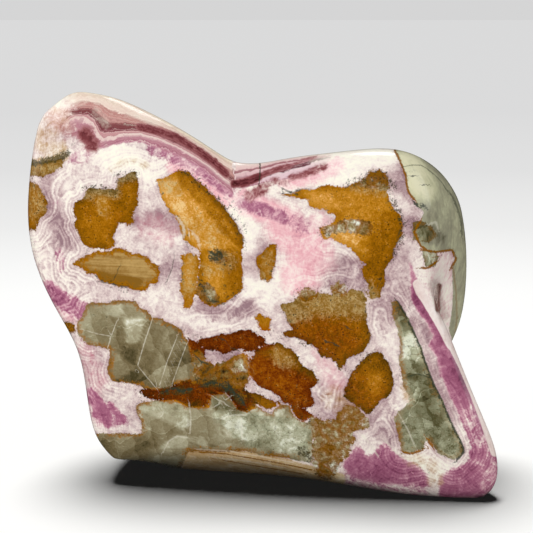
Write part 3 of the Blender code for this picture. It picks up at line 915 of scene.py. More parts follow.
def stone_fields(piece, points):
    """Every pattern value for every point of the stone, by name."""
    reach = reach_of(piece, points)
    first, *others = STRAY_CLOUD_FROM
    stray = np.stack([cloud(points, STRAY_CLOUD, (axis * first, *others)) for axis in range(3)], 1)
    uv = chart_of(points + stray * (smooth(reach, 0, STRAY_FROM) * STRAY)[:, None])
    front = smooth(reach + stray[:, 0] * FADE_RAGGED, FADE[1], FADE[0])
    front[reach == 0] = 1
    fields = {name: np.full(len(points), FAR) for name in KINDS + ("closest",)}
    fields["tone"] = np.full(len(points), MIDDLE_TONE)
    fields["crowd"] = np.full(len(points), math.exp(-FAR / CROWDING))
    front_fragments(uv, reach, fields)
    shards(points, reach, fields)
    fields["near"] = np.clip(-CROWDING * np.log(fields.pop("crowd")), DEEP, FAR)
    fields.pop("closest")
    tone_fields(uv, front, fields)
    tint_fields(points, uv, front, fields)
    for name, lines in (("ink", INK), ("chalk", CHALK), ("rust", RUST)):
        side, shown = veins(uv, lines)
        fields[name + "_side"] = side
        fields[name] = shown * smooth(reach, FADE[0] * 2, FADE[0])
    layer_fields(piece.data, uv, points, reach, fields)
    fields["ringed"] = washed(uv, RINGED) * front + (1 - front) * RINGED_HIDDEN
    return fields


def write_fields(piece):
    """Keeps the pattern values on the piece, one named value a point."""
    mesh = piece.data
    points = np.empty(len(mesh.vertices) * 3)
    mesh.vertices.foreach_get("co", points)
    points = points.reshape(-1, 3) / MM
    fields = stone_fields(piece, points)
    fibre = slope_of(mesh, points, fields["near"])
    mesh.attributes.new("fibre", "FLOAT_VECTOR", "POINT").data.foreach_set("vector", fibre.astype(np.float32).ravel())
    for name, values in fields.items():
        mesh.attributes.new(name, "FLOAT", "POINT").data.foreach_set("value", values.astype(np.float32))


# --- shader maths --------------------------------------------------------------
class Wire:
    """A value, colour or vector between two nodes. Arithmetic on a value adds its Math nodes."""

    def __init__(self, sheet, socket):
        self.sheet = sheet
        self.socket = socket

    def __add__(self, other):
        return self.sheet.maths("ADD", self, other)

    def __sub__(self, other):
        return self.sheet.maths("SUBTRACT", self, other)

    def __rsub__(self, other):
        return self.sheet.maths("SUBTRACT", other, self)

    def __mul__(self, other):
        return self.sheet.maths("MULTIPLY", self, other)

    def __abs__(self):
        return self.sheet.maths("ABSOLUTE", self)

    __radd__ = __add__
    __rmul__ = __mul__


class Sheet:
    """One material's nodes."""

    def __init__(self, material):
        material.use_nodes = True
        self.tree = material.node_tree
        self.tree.nodes.clear()

    def node(self, kind, settings=None, values=None, output=0):
        """Any node: its type, its settings, then its sockets' values or links. Gives the wire from one output."""
        made = self.tree.nodes.new(kind)
        for name, setting in (settings or {}).items():
            if name == "stops":
                self.set_stops(made.color_ramp, setting)
            else:
                setattr(made, name, setting)
        for socket, value in (values or {}).items():
            if isinstance(value, Wire):
                self.tree.links.new(value.socket, made.inputs[socket])
            else:
                made.inputs[socket].default_value = value
        return Wire(self, made.outputs[output]) if made.outputs else made

    @staticmethod
    def set_stops(ramp, rows):
        while len(ramp.elements) < len(rows):
            ramp.elements.new(1)
        for element, (place, tone) in zip(ramp.elements, rows):
            element.position = place
            element.color = tone

    def maths(self, operation, *terms):
        return self.node("ShaderNodeMath", {"operation": operation}, dict(enumerate(terms)))

    def vector_maths(self, operation, *terms, output=0):
        return self.node("ShaderNodeVectorMath", {"operation": operation}, dict(enumerate(terms)), output)

    def scaled(self, where, amount):
        return self.node("ShaderNodeVectorMath", {"operation": "SCALE"}, {"Vector": where, "Scale": amount})

    def attribute(self, name, output="Fac"):
        return self.node("ShaderNodeAttribute", {"attribute_name": name}, output=output)

    def noise(self, where, scale, detail=3.0, roughness=0.55, distortion=0.0, output=0):
        values = {"Vector": where, "Scale": scale, "Detail": detail, "Roughness": roughness, "Distortion": distortion}
        return self.node("ShaderNodeTexNoise", {}, values, output)

    def cells(self, where, scale, feature="F1", output="Distance"):
        return self.node("ShaderNodeTexVoronoi", {"feature": feature}, {"Vector": where, "Scale": scale}, output)

    def cell_number(self, where, scale, channel=0):
        """A random number for each cell."""
        return self.node("ShaderNodeSeparateColor", {}, {0: self.cells(where, scale, output="Color")}, channel)

    def step(self, value, low, high):
        """0 below low, 1 above high; it may fall instead of rise."""
        ends = (0.0, 1.0) if low <= high else (1.0, 0.0)
        low, high = min(low, high), max(low, high)
        values = {"Value": value, "From Min": low, "From Max": high, "To Min": ends[0], "To Max": ends[1]}
        return self.node("ShaderNodeMapRange", {"interpolation_type": "SMOOTHSTEP"}, values)

    def mix(self, first, second, factor):
        settings = {"data_type": "RGBA", "clamp_factor": True}
        return self.node("ShaderNodeMix", settings, {0: factor, 6: first, 7: second}, output=2)

    def ramp(self, value, rows):
        return self.node("ShaderNodeValToRGB", {"stops": rows}, {0: value})

    def moved(self, where, shift, amount):
        """A place, pushed by a coloured noise."""
        push = self.vector_maths("SUBTRACT", shift, (0.5, 0.5, 0.5))
        return self.vector_maths("ADD", where, self.scaled(push, amount))

    def mapped(self, where, turn, size):
        """A place, turned and stretched."""
        return self.node("ShaderNodeMapping", {}, {"Vector": where, "Rotation": turn, "Scale": size})


class StoneSheet(Sheet):
    """The stone's nodes, and the places in mm and the noises that all its parts share."""

    def __init__(self, material):
        super().__init__(material)
        self.mm = self.scaled(self.node("ShaderNodeTexCoord", output="Object"), 1 / MM)
        self.flow = self.moved(self.mm, self.noise(self.mm, 0.22, 3, 0.6, output="Color"), 5.0)
        self.knot = self.moved(self.mm, self.noise(self.mm, 0.5, 3, 0.6, output="Color"), 3.0)
        self.wisp = even(self.noise(self.flow, 0.5, 5, 0.62, 0.4))
        self.haze = even(self.noise(self.mm, 0.11, 3, 0.5))
        self.fray = even(self.noise(self.mm, 0.85, 4, 0.62))
        self.grain = even(self.noise(self.mm, 2.2, 3, 0.68), 5.5)
        self.speckle = even(self.noise(self.mm, 5.5, 3, 0.7), 5.5)
        self.ragged = self.fray * 0.5 + self.grain * 0.28 + self.speckle * 0.12 + self.wisp * 0.25
        self.near = self.attribute("near")
        self.tone = self.attribute("tone")


def even(value, gain=4.5):
    """A noise's value, made about 0 on average and mostly between -1 and 1."""
    return (value - 0.5) * gain


def shade(red, green, blue):
    """A colour as seen, 0 to 255 a channel, made linear."""
    channels = [c / 255 for c in (red, green, blue)]
    return tuple(c / 12.92 if c <= 0.04045 else ((c + 0.055) / 1.055) ** 2.4 for c in channels) + (1.0,)


def stops(*rows):
    """A colour ramp's stops, from rows of a place and a colour as seen."""
    return tuple((place, shade(*seen)) for place, *seen in rows)


EMBER_STOPS = stops((0.0, 66, 26, 0), (0.15, 100, 38, 0), (0.3, 128, 60, 0), (0.45, 156, 86, 0),
                    (0.6, 172, 108, 14), (0.8, 196, 136, 50), (1.0, 226, 180, 104))
ORANGE_STOPS = stops((0.0, 58, 42, 8), (0.15, 96, 62, 4), (0.3, 130, 82, 2), (0.45, 156, 98, 4),
                     (0.6, 180, 120, 18), (0.75, 200, 138, 42), (0.88, 218, 158, 72), (1.0, 238, 200, 136))
SMOKE_STOPS = stops((0.0, 70, 62, 36), (0.25, 117, 103, 72), (0.5, 148, 137, 106), (0.7, 174, 167, 138),
                    (0.85, 198, 192, 164), (1.0, 232, 232, 216))
FROST_STOPS = stops((0.0, 96, 88, 60), (0.3, 140, 132, 102), (0.55, 174, 168, 138), (0.8, 206, 204, 178),
                    (1.0, 236, 236, 220))
SAGE_STOPS = stops((0.0, 40, 38, 20), (0.25, 84, 80, 50), (0.5, 128, 127, 98), (0.7, 162, 163, 134),
                   (0.85, 194, 194, 164), (1.0, 226, 228, 206))
JADE_STOPS = stops((0.0, 70, 64, 46), (0.2, 104, 100, 78), (0.4, 146, 142, 120), (0.6, 172, 170, 142),
                   (0.8, 206, 204, 168), (1.0, 226, 222, 188))
DRUSE_STOPS = stops((0.0, 30, 26, 12), (0.2, 84, 66, 26), (0.4, 126, 98, 46), (0.6, 150, 130, 88),
                    (0.78, 182, 172, 138), (0.9, 214, 214, 192), (1.0, 242, 244, 230))
CALCITE_STOPS = stops((0.0, 255, 251, 234), (0.32, 247, 236, 226), (0.55, 222, 202, 198), (0.78, 188, 160, 161),
                      (1.0, 152, 121, 128))
MAGENTA_STOPS = stops((0.0, 236, 204, 206), (0.25, 204, 150, 164), (0.5, 172, 106, 132), (0.75, 146, 80, 108),
                      (1.0, 112, 52, 80))
BLUSH_STOPS = stops((0.0, 255, 232, 228), (0.45, 240, 180, 188), (1.0, 202, 126, 138))
# Tan colours, kept pale where they stand in part for painted bounce light under the bottom edge.
TAN_STOPS = stops((0.0, 226, 206, 170), (0.4, 204, 172, 124), (0.75, 172, 130, 82), (1.0, 120, 84, 40))
# Painted highlight colours for the wing's crest.
RIDGE_HIGHLIGHT_STOPS = stops((0.0, 250, 238, 232), (0.5, 233, 212, 205), (1.0, 196, 162, 166))
WINE_STOPS = stops((0.0, 212, 162, 160), (0.4, 166, 106, 108), (0.7, 124, 62, 66), (1.0, 70, 24, 28))
# Colours down through the layers, by age.
LAYER_STOPS = stops((0.0, 244, 228, 204), (0.2, 220, 190, 172), (0.3, 242, 222, 206), (0.45, 226, 192, 178),
                    (0.75, 244, 224, 210), (1.0, 186, 128, 122), (1.25, 212, 164, 156), (1.5, 148, 88, 88),
                    (1.9, 114, 54, 60), (2.1, 136, 74, 82), (2.3, 216, 176, 172), (2.6, 188, 130, 136),
                    (2.9, 232, 208, 200), (3.1, 210, 162, 168), (3.4, 164, 98, 116), (3.7, 198, 142, 156),
                    (4.0, 240, 218, 222), (5.0, 248, 232, 220), (5.7, 228, 192, 190), (6.0, 154, 94, 102),
                    (6.2, 232, 200, 200), (6.7, 200, 152, 160), (6.95, 98, 52, 60), (7.1, 108, 56, 66),
                    (7.3, 232, 208, 210), (7.7, 222, 188, 198), (7.95, 166, 104, 122), (8.2, 244, 226, 230))
CREAM = shade(255, 249, 230)
# Painted shade for the recess behind the wing's crest: its deepest part, and the paler rest.
HOLLOW_SHADE_DEEP = shade(112, 70, 62)
HOLLOW_SHADE_PALE = shade(178, 132, 126)
OLIVE_TAN = shade(146, 114, 54)
PALE_TAN = shade(192, 168, 116)
STRAW_DARK = shade(134, 94, 30)
STRAW_LIGHT = shade(190, 156, 96)
MOSS = shade(78, 70, 32)
INK_GREEN = shade(50, 58, 44)
CHALK_WHITE = shade(236, 230, 212)
RUST_BROWN = shade(132, 76, 14)
SPECK = shade(34, 28, 12)
WINE = shade(132, 72, 84)
# The smoky crystals' cleavage: normal of each set of planes, their spacing in mm, and how much the slabs differ.
CLEAVAGE = (((0.94, 0.25, 0.30), 5.2, 0.30), ((-0.20, 0.35, 0.93), 8.0, 0.22), ((0.75, -0.2, -0.62), 11.0, 0.22))
# The fibres are noise smeared across the rings, at these steps in mm. The rings are this far apart, in mm.
FIBRE_STEPS = (-1.0, -0.5, 0.0, 0.5, 1.0)
RING_GAP = 0.95
# Fine waves to a layer.
WAVES = 2.6
# The finish all over: how sharply light bends in it, how bright its shine is, and its relief in metres.
CALCITE_IOR = 1.5
SHINE = 0.3
RELIEF = 0.0004
RELIEF_SHOWN = 0.12
# A fragment's border, in mm from where it is drawn.
BORDER = 0.12
# Crystals, grains and clumps: how many to a mm.
ROSE_CELLS = 0.20
SAGE_CELLS = 0.34
FROST_BILLOWS = 0.29
FROST_PUFFS = 0.9
BLACK_GRAINS = 1.25
DRUSE_CRYSTALS = 0.55
DRUSE_CLUMPS = 0.24


# --- the stone's finish: each part is laid over those before it --------------------
def pale_calcite(s):
    """Rings round the fragments, fibres across the rings, and milky, pink and brown parts; also a painted highlight
    along the wing's crest, painted shade in the recess behind it, and tan that along the bottom edge is partly
    painted bounce light from the floor.
    """
    fibre = s.attribute("fibre", "Vector")
    comb = 0.0
    for step in FIBRE_STEPS:
        comb = s.noise(s.vector_maths("MULTIPLY_ADD", fibre, (step, step, step), s.mm), 2.0, 2, 0.6) + comb
    comb = even(comb * (1 / len(FIBRE_STEPS)), 10.0)
    wave = (s.near + s.wisp * 0.22 + s.haze * 0.8) * (2 * math.pi / RING_GAP)
    rings = s.maths("SINE", wave) * 0.7 + s.maths("SINE", wave * 0.37 + s.wisp * 0.7) * 0.6
    plainly = s.attribute("ringed") * 0.8 + 0.3
    rings = rings * plainly * s.step(s.near, 0.1, 1.0) * s.step(s.wisp - s.haze, -1.6, 0.2)
    milk = s.wisp * 0.21 + s.haze * 0.15 + comb * 0.10 + s.grain * 0.06 + s.speckle * 0.04 + rings * 0.17
    milk = milk + s.step(s.near, 1.6, 0.0) * 0.10 + s.attribute("mauve") * 0.54 - s.attribute("cream") * 0.40 + 0.45

    def tinted(base, name, tone, low, high, spread=0.22):
        strength = s.attribute(name)
        frayed = strength + s.wisp * spread + comb * 0.08 + rings * 0.06
        return s.mix(base, tone, s.step(frayed, low, high) * s.step(strength, 0.02, 0.25))

    colour = s.ramp(milk, CALCITE_STOPS)
    colour = tinted(colour, "pink", s.ramp(milk * 0.9, BLUSH_STOPS), 0.1, 1.1)
    seams = s.cells(s.flow, ROSE_CELLS, "DISTANCE_TO_EDGE")
    seams = s.step(seams + s.grain * 0.008, 0.07, 0.01) * s.step(s.wisp, -0.2, 0.9)
    rose = s.attribute("magenta") * 0.66 + s.wisp * 0.26 + s.haze * 0.22 + comb * 0.10 + rings * 0.20
    rose = rose + s.grain * 0.04 - seams * 0.45
    colour = tinted(colour, "magenta", s.ramp(rose, MAGENTA_STOPS), 0.2, 0.62, 0.20)
    # Tan; along the bottom edge it is partly painted bounce light from the floor.
    colour = tinted(colour, "tan", s.ramp(milk - 0.12, TAN_STOPS), 0.05, 0.95, 0.3)
    # A painted highlight along the wing's crest.
    colour = tinted(colour, "ridge", s.ramp(milk - 0.1, RIDGE_HIGHLIGHT_STOPS), 0.35, 0.65, 0.08)
    # Painted shade in the recess behind the wing's crest.
    hollow_shade_colour = s.mix(HOLLOW_SHADE_DEEP, HOLLOW_SHADE_PALE, s.step(s.wisp + comb * 0.5 + s.fray * 0.3, -0.5, 1.3))
    return tinted(colour, "hollow", hollow_shade_colour, 0.2, 1.0, 0.1)


def top_layers(s, colour):
    """The layers along the top edge, and the wine-red bands in them."""
    age = s.attribute("age") + s.wisp * 0.016 + s.fray * 0.004
    fine = s.maths("SINE", age * (OLDEST * 2 * math.pi * WAVES) + s.wisp * 0.8)
    layer = s.ramp(age + fine * 0.012, tuple((place / OLDEST, tone) for place, tone in LAYER_STOPS))
    layer = s.mix(layer, CREAM, s.step(fine + s.wisp * 0.5 + s.haze * 0.4, 0.6, 1.4) * 0.3)
    layer = s.mix(layer, CREAM, s.step(s.attribute("cream") + s.wisp * 0.35, 0.3, 1.1) * 0.40)
    layer = s.mix(layer, WINE, s.step(s.wisp + s.grain * 0.3 - fine * 0.3, 0.4, 1.4) * 0.25)
    shown = s.step(s.attribute("layered") + s.wisp * 0.25 + s.fray * 0.08, 0.3, 0.8)
    colour = s.mix(colour, layer, shown)
    wine = s.attribute("wine")
    wine_colour = s.ramp(wine * 0.72 + fine * 0.07 + s.wisp * 0.22 + s.grain * 0.05, WINE_STOPS)
    return s.mix(colour, wine_colour, s.step(wine + s.wisp * 0.3, 0.15, 0.85) * s.step(wine, 0.02, 0.2))


def jade_over(s, colour):
    """Smooth green-grey rock with faint streaks."""
    streak = even(s.noise(s.mapped(s.mm, (0.0, 0.15, 0.0), (0.5, 0.5, 0.10)), 1.0, 4, 0.6))
    jade_tone = s.tone + s.haze * 0.16 + s.wisp * 0.11 + streak * 0.07 + s.grain * 0.02
    jade = s.step(s.attribute("jade") + s.ragged * 0.3, 0.15, -0.15)
    return s.mix(colour, s.ramp(jade_tone, JADE_STOPS), jade)


def cleaved(s, tone):
    """A tone, changed from slab to slab between cleavage planes, and the fine lines along the planes."""
    hairs = 0.0
    for aim, width, depth in CLEAVAGE:
        across = s.vector_maths("DOT_PRODUCT", s.mm, aim, output="Value")
        across = across * (1 / width) + s.haze * 0.3 + s.fray * 0.012
        slab = s.maths("FLOOR", across)
        level = s.node("ShaderNodeTexWhiteNoise", {"noise_dimensions": "1D"}, {"W": slab}, output="Value")
        inside = across - slab
        tone = tone + (level - 0.5) * depth + (inside - 0.5) * (depth * 0.35)
        hairs = s.step(inside, 0.045, 0.0) * s.step(level + s.wisp * 0.4, 0.2, 0.9) + hairs
    return tone, hairs


def smoke_over(s, colour):
    """Smoky crystals: slabs between cleavage planes, fine lines, frosty billows, a rusty rim."""
    tone = s.tone + s.wisp * 0.08 + s.haze * 0.05 + s.grain * 0.06 + s.speckle * 0.05 + s.fray * 0.06
    tone, hairs = cleaved(s, tone)
    sage = s.attribute("sage")
    seam = s.step(s.cells(s.knot, SAGE_CELLS, "DISTANCE_TO_EDGE") + s.grain * 0.02, 0.07, 0.01)
    tone = tone + (s.cell_number(s.knot, SAGE_CELLS) - 0.5) * sage * 0.34
    hatch = even(s.noise(s.mapped(s.mm, (0.0, 0.08, 0.0), (0.10, 0.2, 1.9)), 1.0, 3, 0.6))
    tone = tone + s.step(hatch + s.wisp * 0.7, 0.5, 1.5) * 0.16 + hairs * 0.22
    frosted = s.tone + (0.40 - s.cells(s.flow, FROST_BILLOWS, "SMOOTH_F1")) * 0.70
    frosted = frosted + (0.4 - s.cells(s.flow, FROST_PUFFS, "SMOOTH_F1")) * 0.36
    frosted = frosted + s.fray * 0.11 + s.grain * 0.10 + s.speckle * 0.05 - 0.06
    frosty = s.step(s.attribute("frost") + s.wisp * 0.2, 0.25, 0.65)
    crystal = s.mix(s.ramp(tone, SMOKE_STOPS), s.ramp(frosted, FROST_STOPS), frosty)
    greener = s.mix(s.ramp(tone, SAGE_STOPS), s.ramp(frosted, SAGE_STOPS), frosty)
    crystal = s.mix(crystal, greener, s.step(sage + s.wisp * 0.35 + s.fray * 0.2, 0.1, 1.1))
    crystal = s.mix(crystal, MOSS, seam * sage * s.step(s.fray + s.wisp, -0.6, 0.6) * 0.7)
    fleck = s.step(s.fray * 0.7 + s.grain * 0.8 + s.speckle * 0.2 + sage * 0.15, 0.75, 1.3)
    crystal = s.mix(crystal, MOSS, fleck * 0.75)
    gap = s.attribute("smoke") + s.ragged * 0.8
    rim = s.step(gap + s.fray * 0.7 + s.grain * 0.3, -1.6, -0.4)
    rim = rim * s.step(s.wisp + s.haze + s.grain * 0.3, -0.9, 0.1) * (1 - sage * 0.6)
    crystal = s.mix(crystal, rusty(s), rim * 0.85)
    return s.mix(colour, crystal, s.step(gap, BORDER, -BORDER))


def rusty(s):
    """Mottled rust brown."""
    return s.ramp(s.grain * 0.12 + s.fray * 0.10 + 0.36, ORANGE_STOPS)


def straw_over(s, colour):
    """Straw: thin layers along its length, and an orange rim."""
    layer = even(s.noise(s.mapped(s.mm, (0.0, -0.10, 0.0), (0.05, 0.2, 1.3)), 1.0, 3, 0.55))
    light = layer * 0.7 + s.grain * 0.25 + s.wisp * 0.3 + s.haze * 0.2 + s.tone * 4.0
    straw = s.mix(STRAW_DARK, STRAW_LIGHT, s.step(light, 1.1, 3.5))
    gap = s.attribute("straw") + s.ragged
    rim = s.ramp(s.grain * 0.13 + s.fray * 0.12 + 0.42, ORANGE_STOPS)
    straw = s.mix(straw, rim, s.step(gap + s.fray * 0.7, -1.8, -0.7))
    return s.mix(colour, straw, s.step(gap, BORDER, -BORDER))


def orange_over(s, colour):
    """Orange rock: mottled and gritty, a darker edge, weathered parts, black grains and pale glints."""
    gap = s.attribute("orange") + s.ragged
    shown = s.step(gap, BORDER, -BORDER)
    tone = s.tone + s.fray * 0.12 + s.grain * 0.13 + s.speckle * 0.07 + s.haze * 0.08 + s.wisp * 0.14
    tone = tone - s.step(gap + s.fray * 0.6, -2.2, -0.3) * 0.12
    ember = s.step(s.attribute("ember") + s.wisp * 0.25 + s.fray * 0.15, 0.15, 0.85)
    rock = s.mix(s.ramp(tone, ORANGE_STOPS), s.ramp(tone, EMBER_STOPS), ember)
    dusty = s.step(s.attribute("dust") + s.fray * 0.25 + s.wisp * 0.25 + s.grain * 0.15, 0.15, 1.05)
    dust = s.mix(OLIVE_TAN, PALE_TAN, s.step(s.grain * 0.8 + s.fray + s.wisp, -0.8, 1.4))
    rock = s.mix(rock, dust, dusty * 0.8)
    grit = s.cells(s.mm, BLACK_GRAINS) + s.grain * 0.05
    black = s.step(grit, 0.36, 0.24) * s.step(s.fray + s.wisp * 0.5 - s.tone, -0.6, 0.2)
    rock = s.mix(rock, SPECK, black * 0.85)
    edge = s.step(gap, -1.3, -0.1) * s.step(s.fray * 0.6 + s.grain * 0.7 + s.wisp * 0.7 + s.haze * 0.4, 0.35, 1.1)
    rock = s.mix(rock, MOSS, edge * 0.85)
    glint = s.step(grit, 0.30, 0.18) * s.step(s.wisp - s.fray, 0.5, 1.3)
    rock = s.mix(rock, STRAW_LIGHT, glint * 0.8)
    return s.mix(colour, rock, shown), shown


def druse_over(s, colour):
    """Druse: small crystals in clumps, rusty and dark between them. Also gives where it shows, and its cracks."""
    clump = s.moved(s.mm, s.noise(s.mm, 0.7, 3, 0.7, output="Color"), 3.4)
    crack = s.cells(clump, DRUSE_CRYSTALS, "DISTANCE_TO_EDGE")
    tone = (s.cell_number(clump, DRUSE_CRYSTALS) - 0.5) * 0.26 + (s.cell_number(s.knot, DRUSE_CLUMPS, 1) - 0.5) * 0.56
    tone = tone + (s.tone - 0.5) * 0.7 + s.fray * 0.18 + s.wisp * 0.16 + s.grain * 0.06 + s.speckle * 0.05 + 0.48
    druse = s.ramp(tone, DRUSE_STOPS)
    weathered = s.step(s.haze * 0.6 + s.wisp + s.fray * 0.4, 0.1, 1.2)
    druse = s.mix(druse, OLIVE_TAN, weathered * 0.6)
    rim = s.step(s.cells(s.knot, DRUSE_CLUMPS, "DISTANCE_TO_EDGE") + s.grain * 0.05 + s.fray * 0.06, 0.22, 0.06)
    druse = s.mix(druse, rusty(s), rim * 0.85 * (1.45 - s.tone))
    between = s.mix(SPECK, RUST_BROWN, s.step(s.fray + s.wisp, -1.2, 0.2))
    dark = s.step(crack + s.grain * 0.04, 0.16, 0.03) * s.step(s.wisp - s.fray * 0.6, -1.0, 0.6)
    druse = s.mix(druse, between, dark * 0.75)
    shown = s.step(s.attribute("druse") + s.ragged * 1.5, 0.15, -0.15)
    return s.mix(colour, druse, shown), shown, crack


def crumbs_over(s, colour):
    """Dark crumbs where the fragments meet the calcite, and mossy speckle over whatever it lies on."""
    crumbs = s.step(abs(s.near + s.ragged * 0.6 + 0.1), 0.75, 0.25)
    crumbs = crumbs * s.step(s.grain * 0.8 + s.speckle * 0.3 + s.fray * 0.3, 0.2, 0.6)
    crumbs = crumbs * s.step(s.wisp + s.haze * 0.6 + s.fray * 0.3, -0.5, 0.5)
    colour = s.mix(colour, s.mix(SPECK, MOSS, s.step(s.fray, -0.6, 0.8)), crumbs * 0.85)
    moss = s.attribute("moss")
    shown = s.step(moss * 0.7 + s.fray * 0.34 + s.grain * 0.24, 0.5, 0.8) * s.step(moss, 0.1, 0.3)
    tone = s.mix(s.mix(MOSS, SPECK, s.step(s.grain, -0.2, 0.7)), PALE_TAN, s.step(s.grain, -0.6, -1.3))
    return s.mix(colour, tone, shown * 0.85)


def lines_over(s, colour):
    """Thin rust, chalk and dark green lines, which wander and break."""
    thick = s.fray * 0.4 + 0.8
    broken = s.step(s.wisp + s.fray * 0.6, -1.3, -0.5)
    rust = s.step(abs(s.attribute("rust_side") + s.grain * 0.4) - thick, 0.4, -0.3)
    rust = rust * s.step(s.attribute("rust"), 0.05, 0.5)
    colour = s.mix(colour, s.mix(rusty(s), SPECK, s.step(s.grain, 0.1, 1.0) * 0.8), rust * broken * 0.95)
    chalk = s.step(abs(s.attribute("chalk_side") + s.grain * 0.25) - thick, 0.4, -0.4) * s.attribute("chalk")
    colour = s.mix(colour, CHALK_WHITE, chalk * s.step(s.fray, -1.4, 0.2) * 0.62)
    ink = s.step(abs(s.attribute("ink_side") + s.fray * 0.8 + s.grain * 0.4) - thick, 0.35, -0.25)
    ink = ink * s.attribute("ink") * broken * s.step(s.grain + s.fray, -1.6, -0.2)
    return s.mix(colour, INK_GREEN, ink)


def banded_calcite():
    """The stone's finish: pale banded calcite with rock fragments, all polished together."""
    material = bpy.data.materials.new("banded_calcite_polished")
    s = StoneSheet(material)
    colour = top_layers(s, pale_calcite(s))
    for over in (jade_over, smoke_over, straw_over):
        colour = over(s, colour)
    colour, orange = orange_over(s, colour)
    colour, druse, crack = druse_over(s, colour)
    colour = lines_over(s, crumbs_over(s, colour))
    smoke = s.step(s.attribute("smoke") + s.ragged * 0.8, BORDER, -BORDER)
    solid = orange * 0.6 + druse * 0.8 + smoke * 0.25
    height = s.grain * (solid * 0.2 + 0.03) + crack * druse * 0.5 + s.wisp * 0.04
    finish = {
        "Base Color": colour,
        "Roughness": s.grain * 0.012 + solid * 0.05 + 0.10,
        "Normal": s.node("ShaderNodeBump", {}, {"Strength": RELIEF_SHOWN, "Distance": RELIEF, "Height": height}),
        "IOR": CALCITE_IOR,
        "Specular IOR Level": SHINE,
    }
    s.node("ShaderNodeOutputMaterial", {}, {"Surface": s.node("ShaderNodeBsdfPrincipled", {}, finish)})
    return material


# The paper: its width in metres, and its colour by distance from the stone, as a share of PAPER_FAR metres. It is a
# touch darker and warmer right under the stone, palest a little way out, and darker far off as painted shade where
# the light would fall away.
PAPER_WIDTH = 24.0
PAPER_FAR = 1.6
PAPER_FALLOFF_STOPS = ((0.0, (0.96, 0.955, 0.93, 1)), (0.06, (0.97, 0.965, 0.945, 1)), (0.14, (0.98, 0.98, 0.965, 1)),
               (0.20, (0.95, 0.95, 0.94, 1)), (0.34, (0.81, 0.81, 0.805, 1)), (0.55, (0.72, 0.72, 0.72, 1)),
               (1.0, (0.68, 0.68, 0.682, 1)))
PAPER_ROUGH = 0.9
PAPER_SHINE = 0.1
PAPER_TOOTH = 900.0
TOOTH_DEEP = 0.0001
TOOTH_SHOWN = 0.05
AIR_TONE = (0.665, 0.665, 0.667, 1)
AIR_LIGHT = 0.012
# One soft sun for the paper: where it stands, how wide it looks, and its power.
PAPER_SUN = ((-0.15, 0.21, 0.90), math.radians(28), 3.45)
# Soft lamps round the stone that light it alone: place, side and power. They look at a point in its middle.
STONE_LAMPS = (("overhead", (-0.05, 0.10, 0.85), 0.6, 2.7), ("edge_light", (0.10, 0.60, 0.72), 0.25, 0.7),
               ("fill_front", (-0.25, -0.95, 0.55), 0.8, 7.9),
               ("fill_left", (-0.95, 0.10, 0.50), 0.8, 3.0), ("fill_right", (0.95, 0.05, 0.50), 0.8, 3.0),
               ("fill_back", (0.20, 0.95, 0.60), 0.8, 5.0))
STONE_MIDDLE = (0, 0, 0.06)
# The lamps that don't mirror in the polish.
HAZELESS = ("overhead", "fill_front", "fill_back")


# --- studio -----------------------------------------------------------------------
def camera():
    """A little above level, on the stone's own centre line."""
    bpy.ops.object.camera_add()
    made = bpy.context.object
    made.location = camera_place()
    made.rotation_euler = (math.pi / 2 - CAMERA_TILT, 0, 0)
    made.data.sensor_width = CAMERA_SENSOR
    made.data.lens = CAMERA_SENSOR * CHART_LENS / CHART
    made.data.clip_start = CAMERA_NEAREST
    bpy.context.scene.camera = made


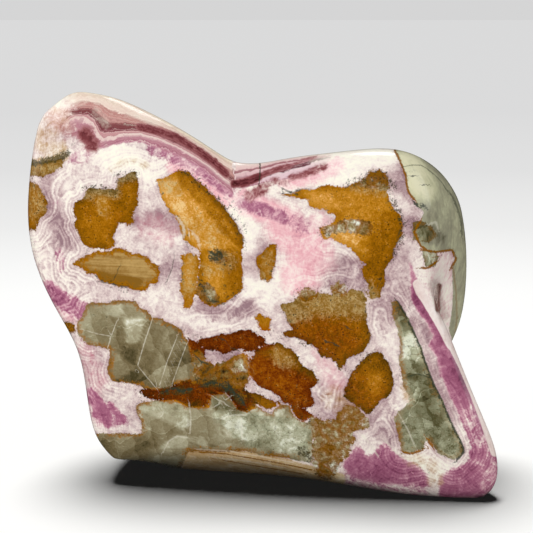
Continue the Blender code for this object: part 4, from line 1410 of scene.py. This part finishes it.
def paper():
    """A pale sheet that reaches the horizon on every side, darker far off with painted shade where the light would
    fall away.
    """
    deselect_all()
    bpy.ops.mesh.primitive_plane_add(size=PAPER_WIDTH)
    sheet = bpy.context.object
    sheet.name = "studio_paper"
    sheet.visible_glossy = False
    material = bpy.data.materials.new("studio_paper")
    s = Sheet(material)
    place = s.node("ShaderNodeTexCoord", output="Object")
    far = s.vector_maths("LENGTH", place, output="Value")
    tooth = s.noise(place, PAPER_TOOTH, 2) - 0.5
    finish = {
        "Base Color": s.ramp(far * (1 / PAPER_FAR), PAPER_FALLOFF_STOPS),
        "Roughness": PAPER_ROUGH,
        "Specular IOR Level": PAPER_SHINE,
        "Normal": s.node("ShaderNodeBump", {}, {"Strength": TOOTH_SHOWN, "Distance": TOOTH_DEEP, "Height": tooth}),
    }
    s.node("ShaderNodeOutputMaterial", {}, {"Surface": s.node("ShaderNodeBsdfPrincipled", {}, finish)})
    sheet.data.materials.append(material)
    return sheet


def air():
    """The same pale tone above the paper's far edge. It hardly lights the stone."""
    world = bpy.data.worlds.new("studio_air")
    s = Sheet(world)
    seen = s.node("ShaderNodeLightPath", output="Is Camera Ray")
    dim = s.node("ShaderNodeBackground", {}, {"Color": AIR_TONE, "Strength": AIR_LIGHT})
    plain = s.node("ShaderNodeBackground", {}, {"Color": AIR_TONE, "Strength": 1.0})
    both = s.node("ShaderNodeMixShader", {}, {0: seen, 1: dim, 2: plain})
    s.node("ShaderNodeOutputWorld", {}, {"Surface": both})
    bpy.context.scene.world = world


def lamp(name, kind, place, aim):
    """A lamp of one kind that looks at a point."""
    bpy.ops.object.light_add(type=kind, location=place)
    made = bpy.context.object
    made.name = name
    made.rotation_euler = (Vector(aim) - Vector(place)).to_track_quat("-Z", "Y").to_euler()
    return made


def light_only(source, piece):
    """Keeps a lamp's light to one piece. Other pieces still cast their shadows on it."""
    receivers = bpy.data.collections.new(source.name + "_lights")
    receivers.objects.link(piece)
    source.light_linking.receiver_collection = receivers


def studio(piece):
    """Camera, paper, a soft sun for the paper, and soft lamps round the stone."""
    camera()
    sheet = paper()
    air()
    piece.visible_diffuse = False
    place, width, power = PAPER_SUN
    sun = lamp("paper_sun", "SUN", place, (0, 0, 0))
    sun.data.angle = width
    sun.data.energy = power
    light_only(sun, sheet)
    for name, place, size, power in STONE_LAMPS:
        soft = lamp(name, "AREA", place, STONE_MIDDLE)
        soft.data.size = size
        soft.data.energy = power
        soft.visible_glossy = name not in HAZELESS
        light_only(soft, piece)
    bpy.context.scene.view_settings.view_transform = "Standard"


stone = polished_copy(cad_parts["polished_stone"])
write_fields(stone)
stone.data.materials.clear()
stone.data.materials.append(banded_calcite())
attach(stone, "root")
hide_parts("polished_stone")
studio(stone)
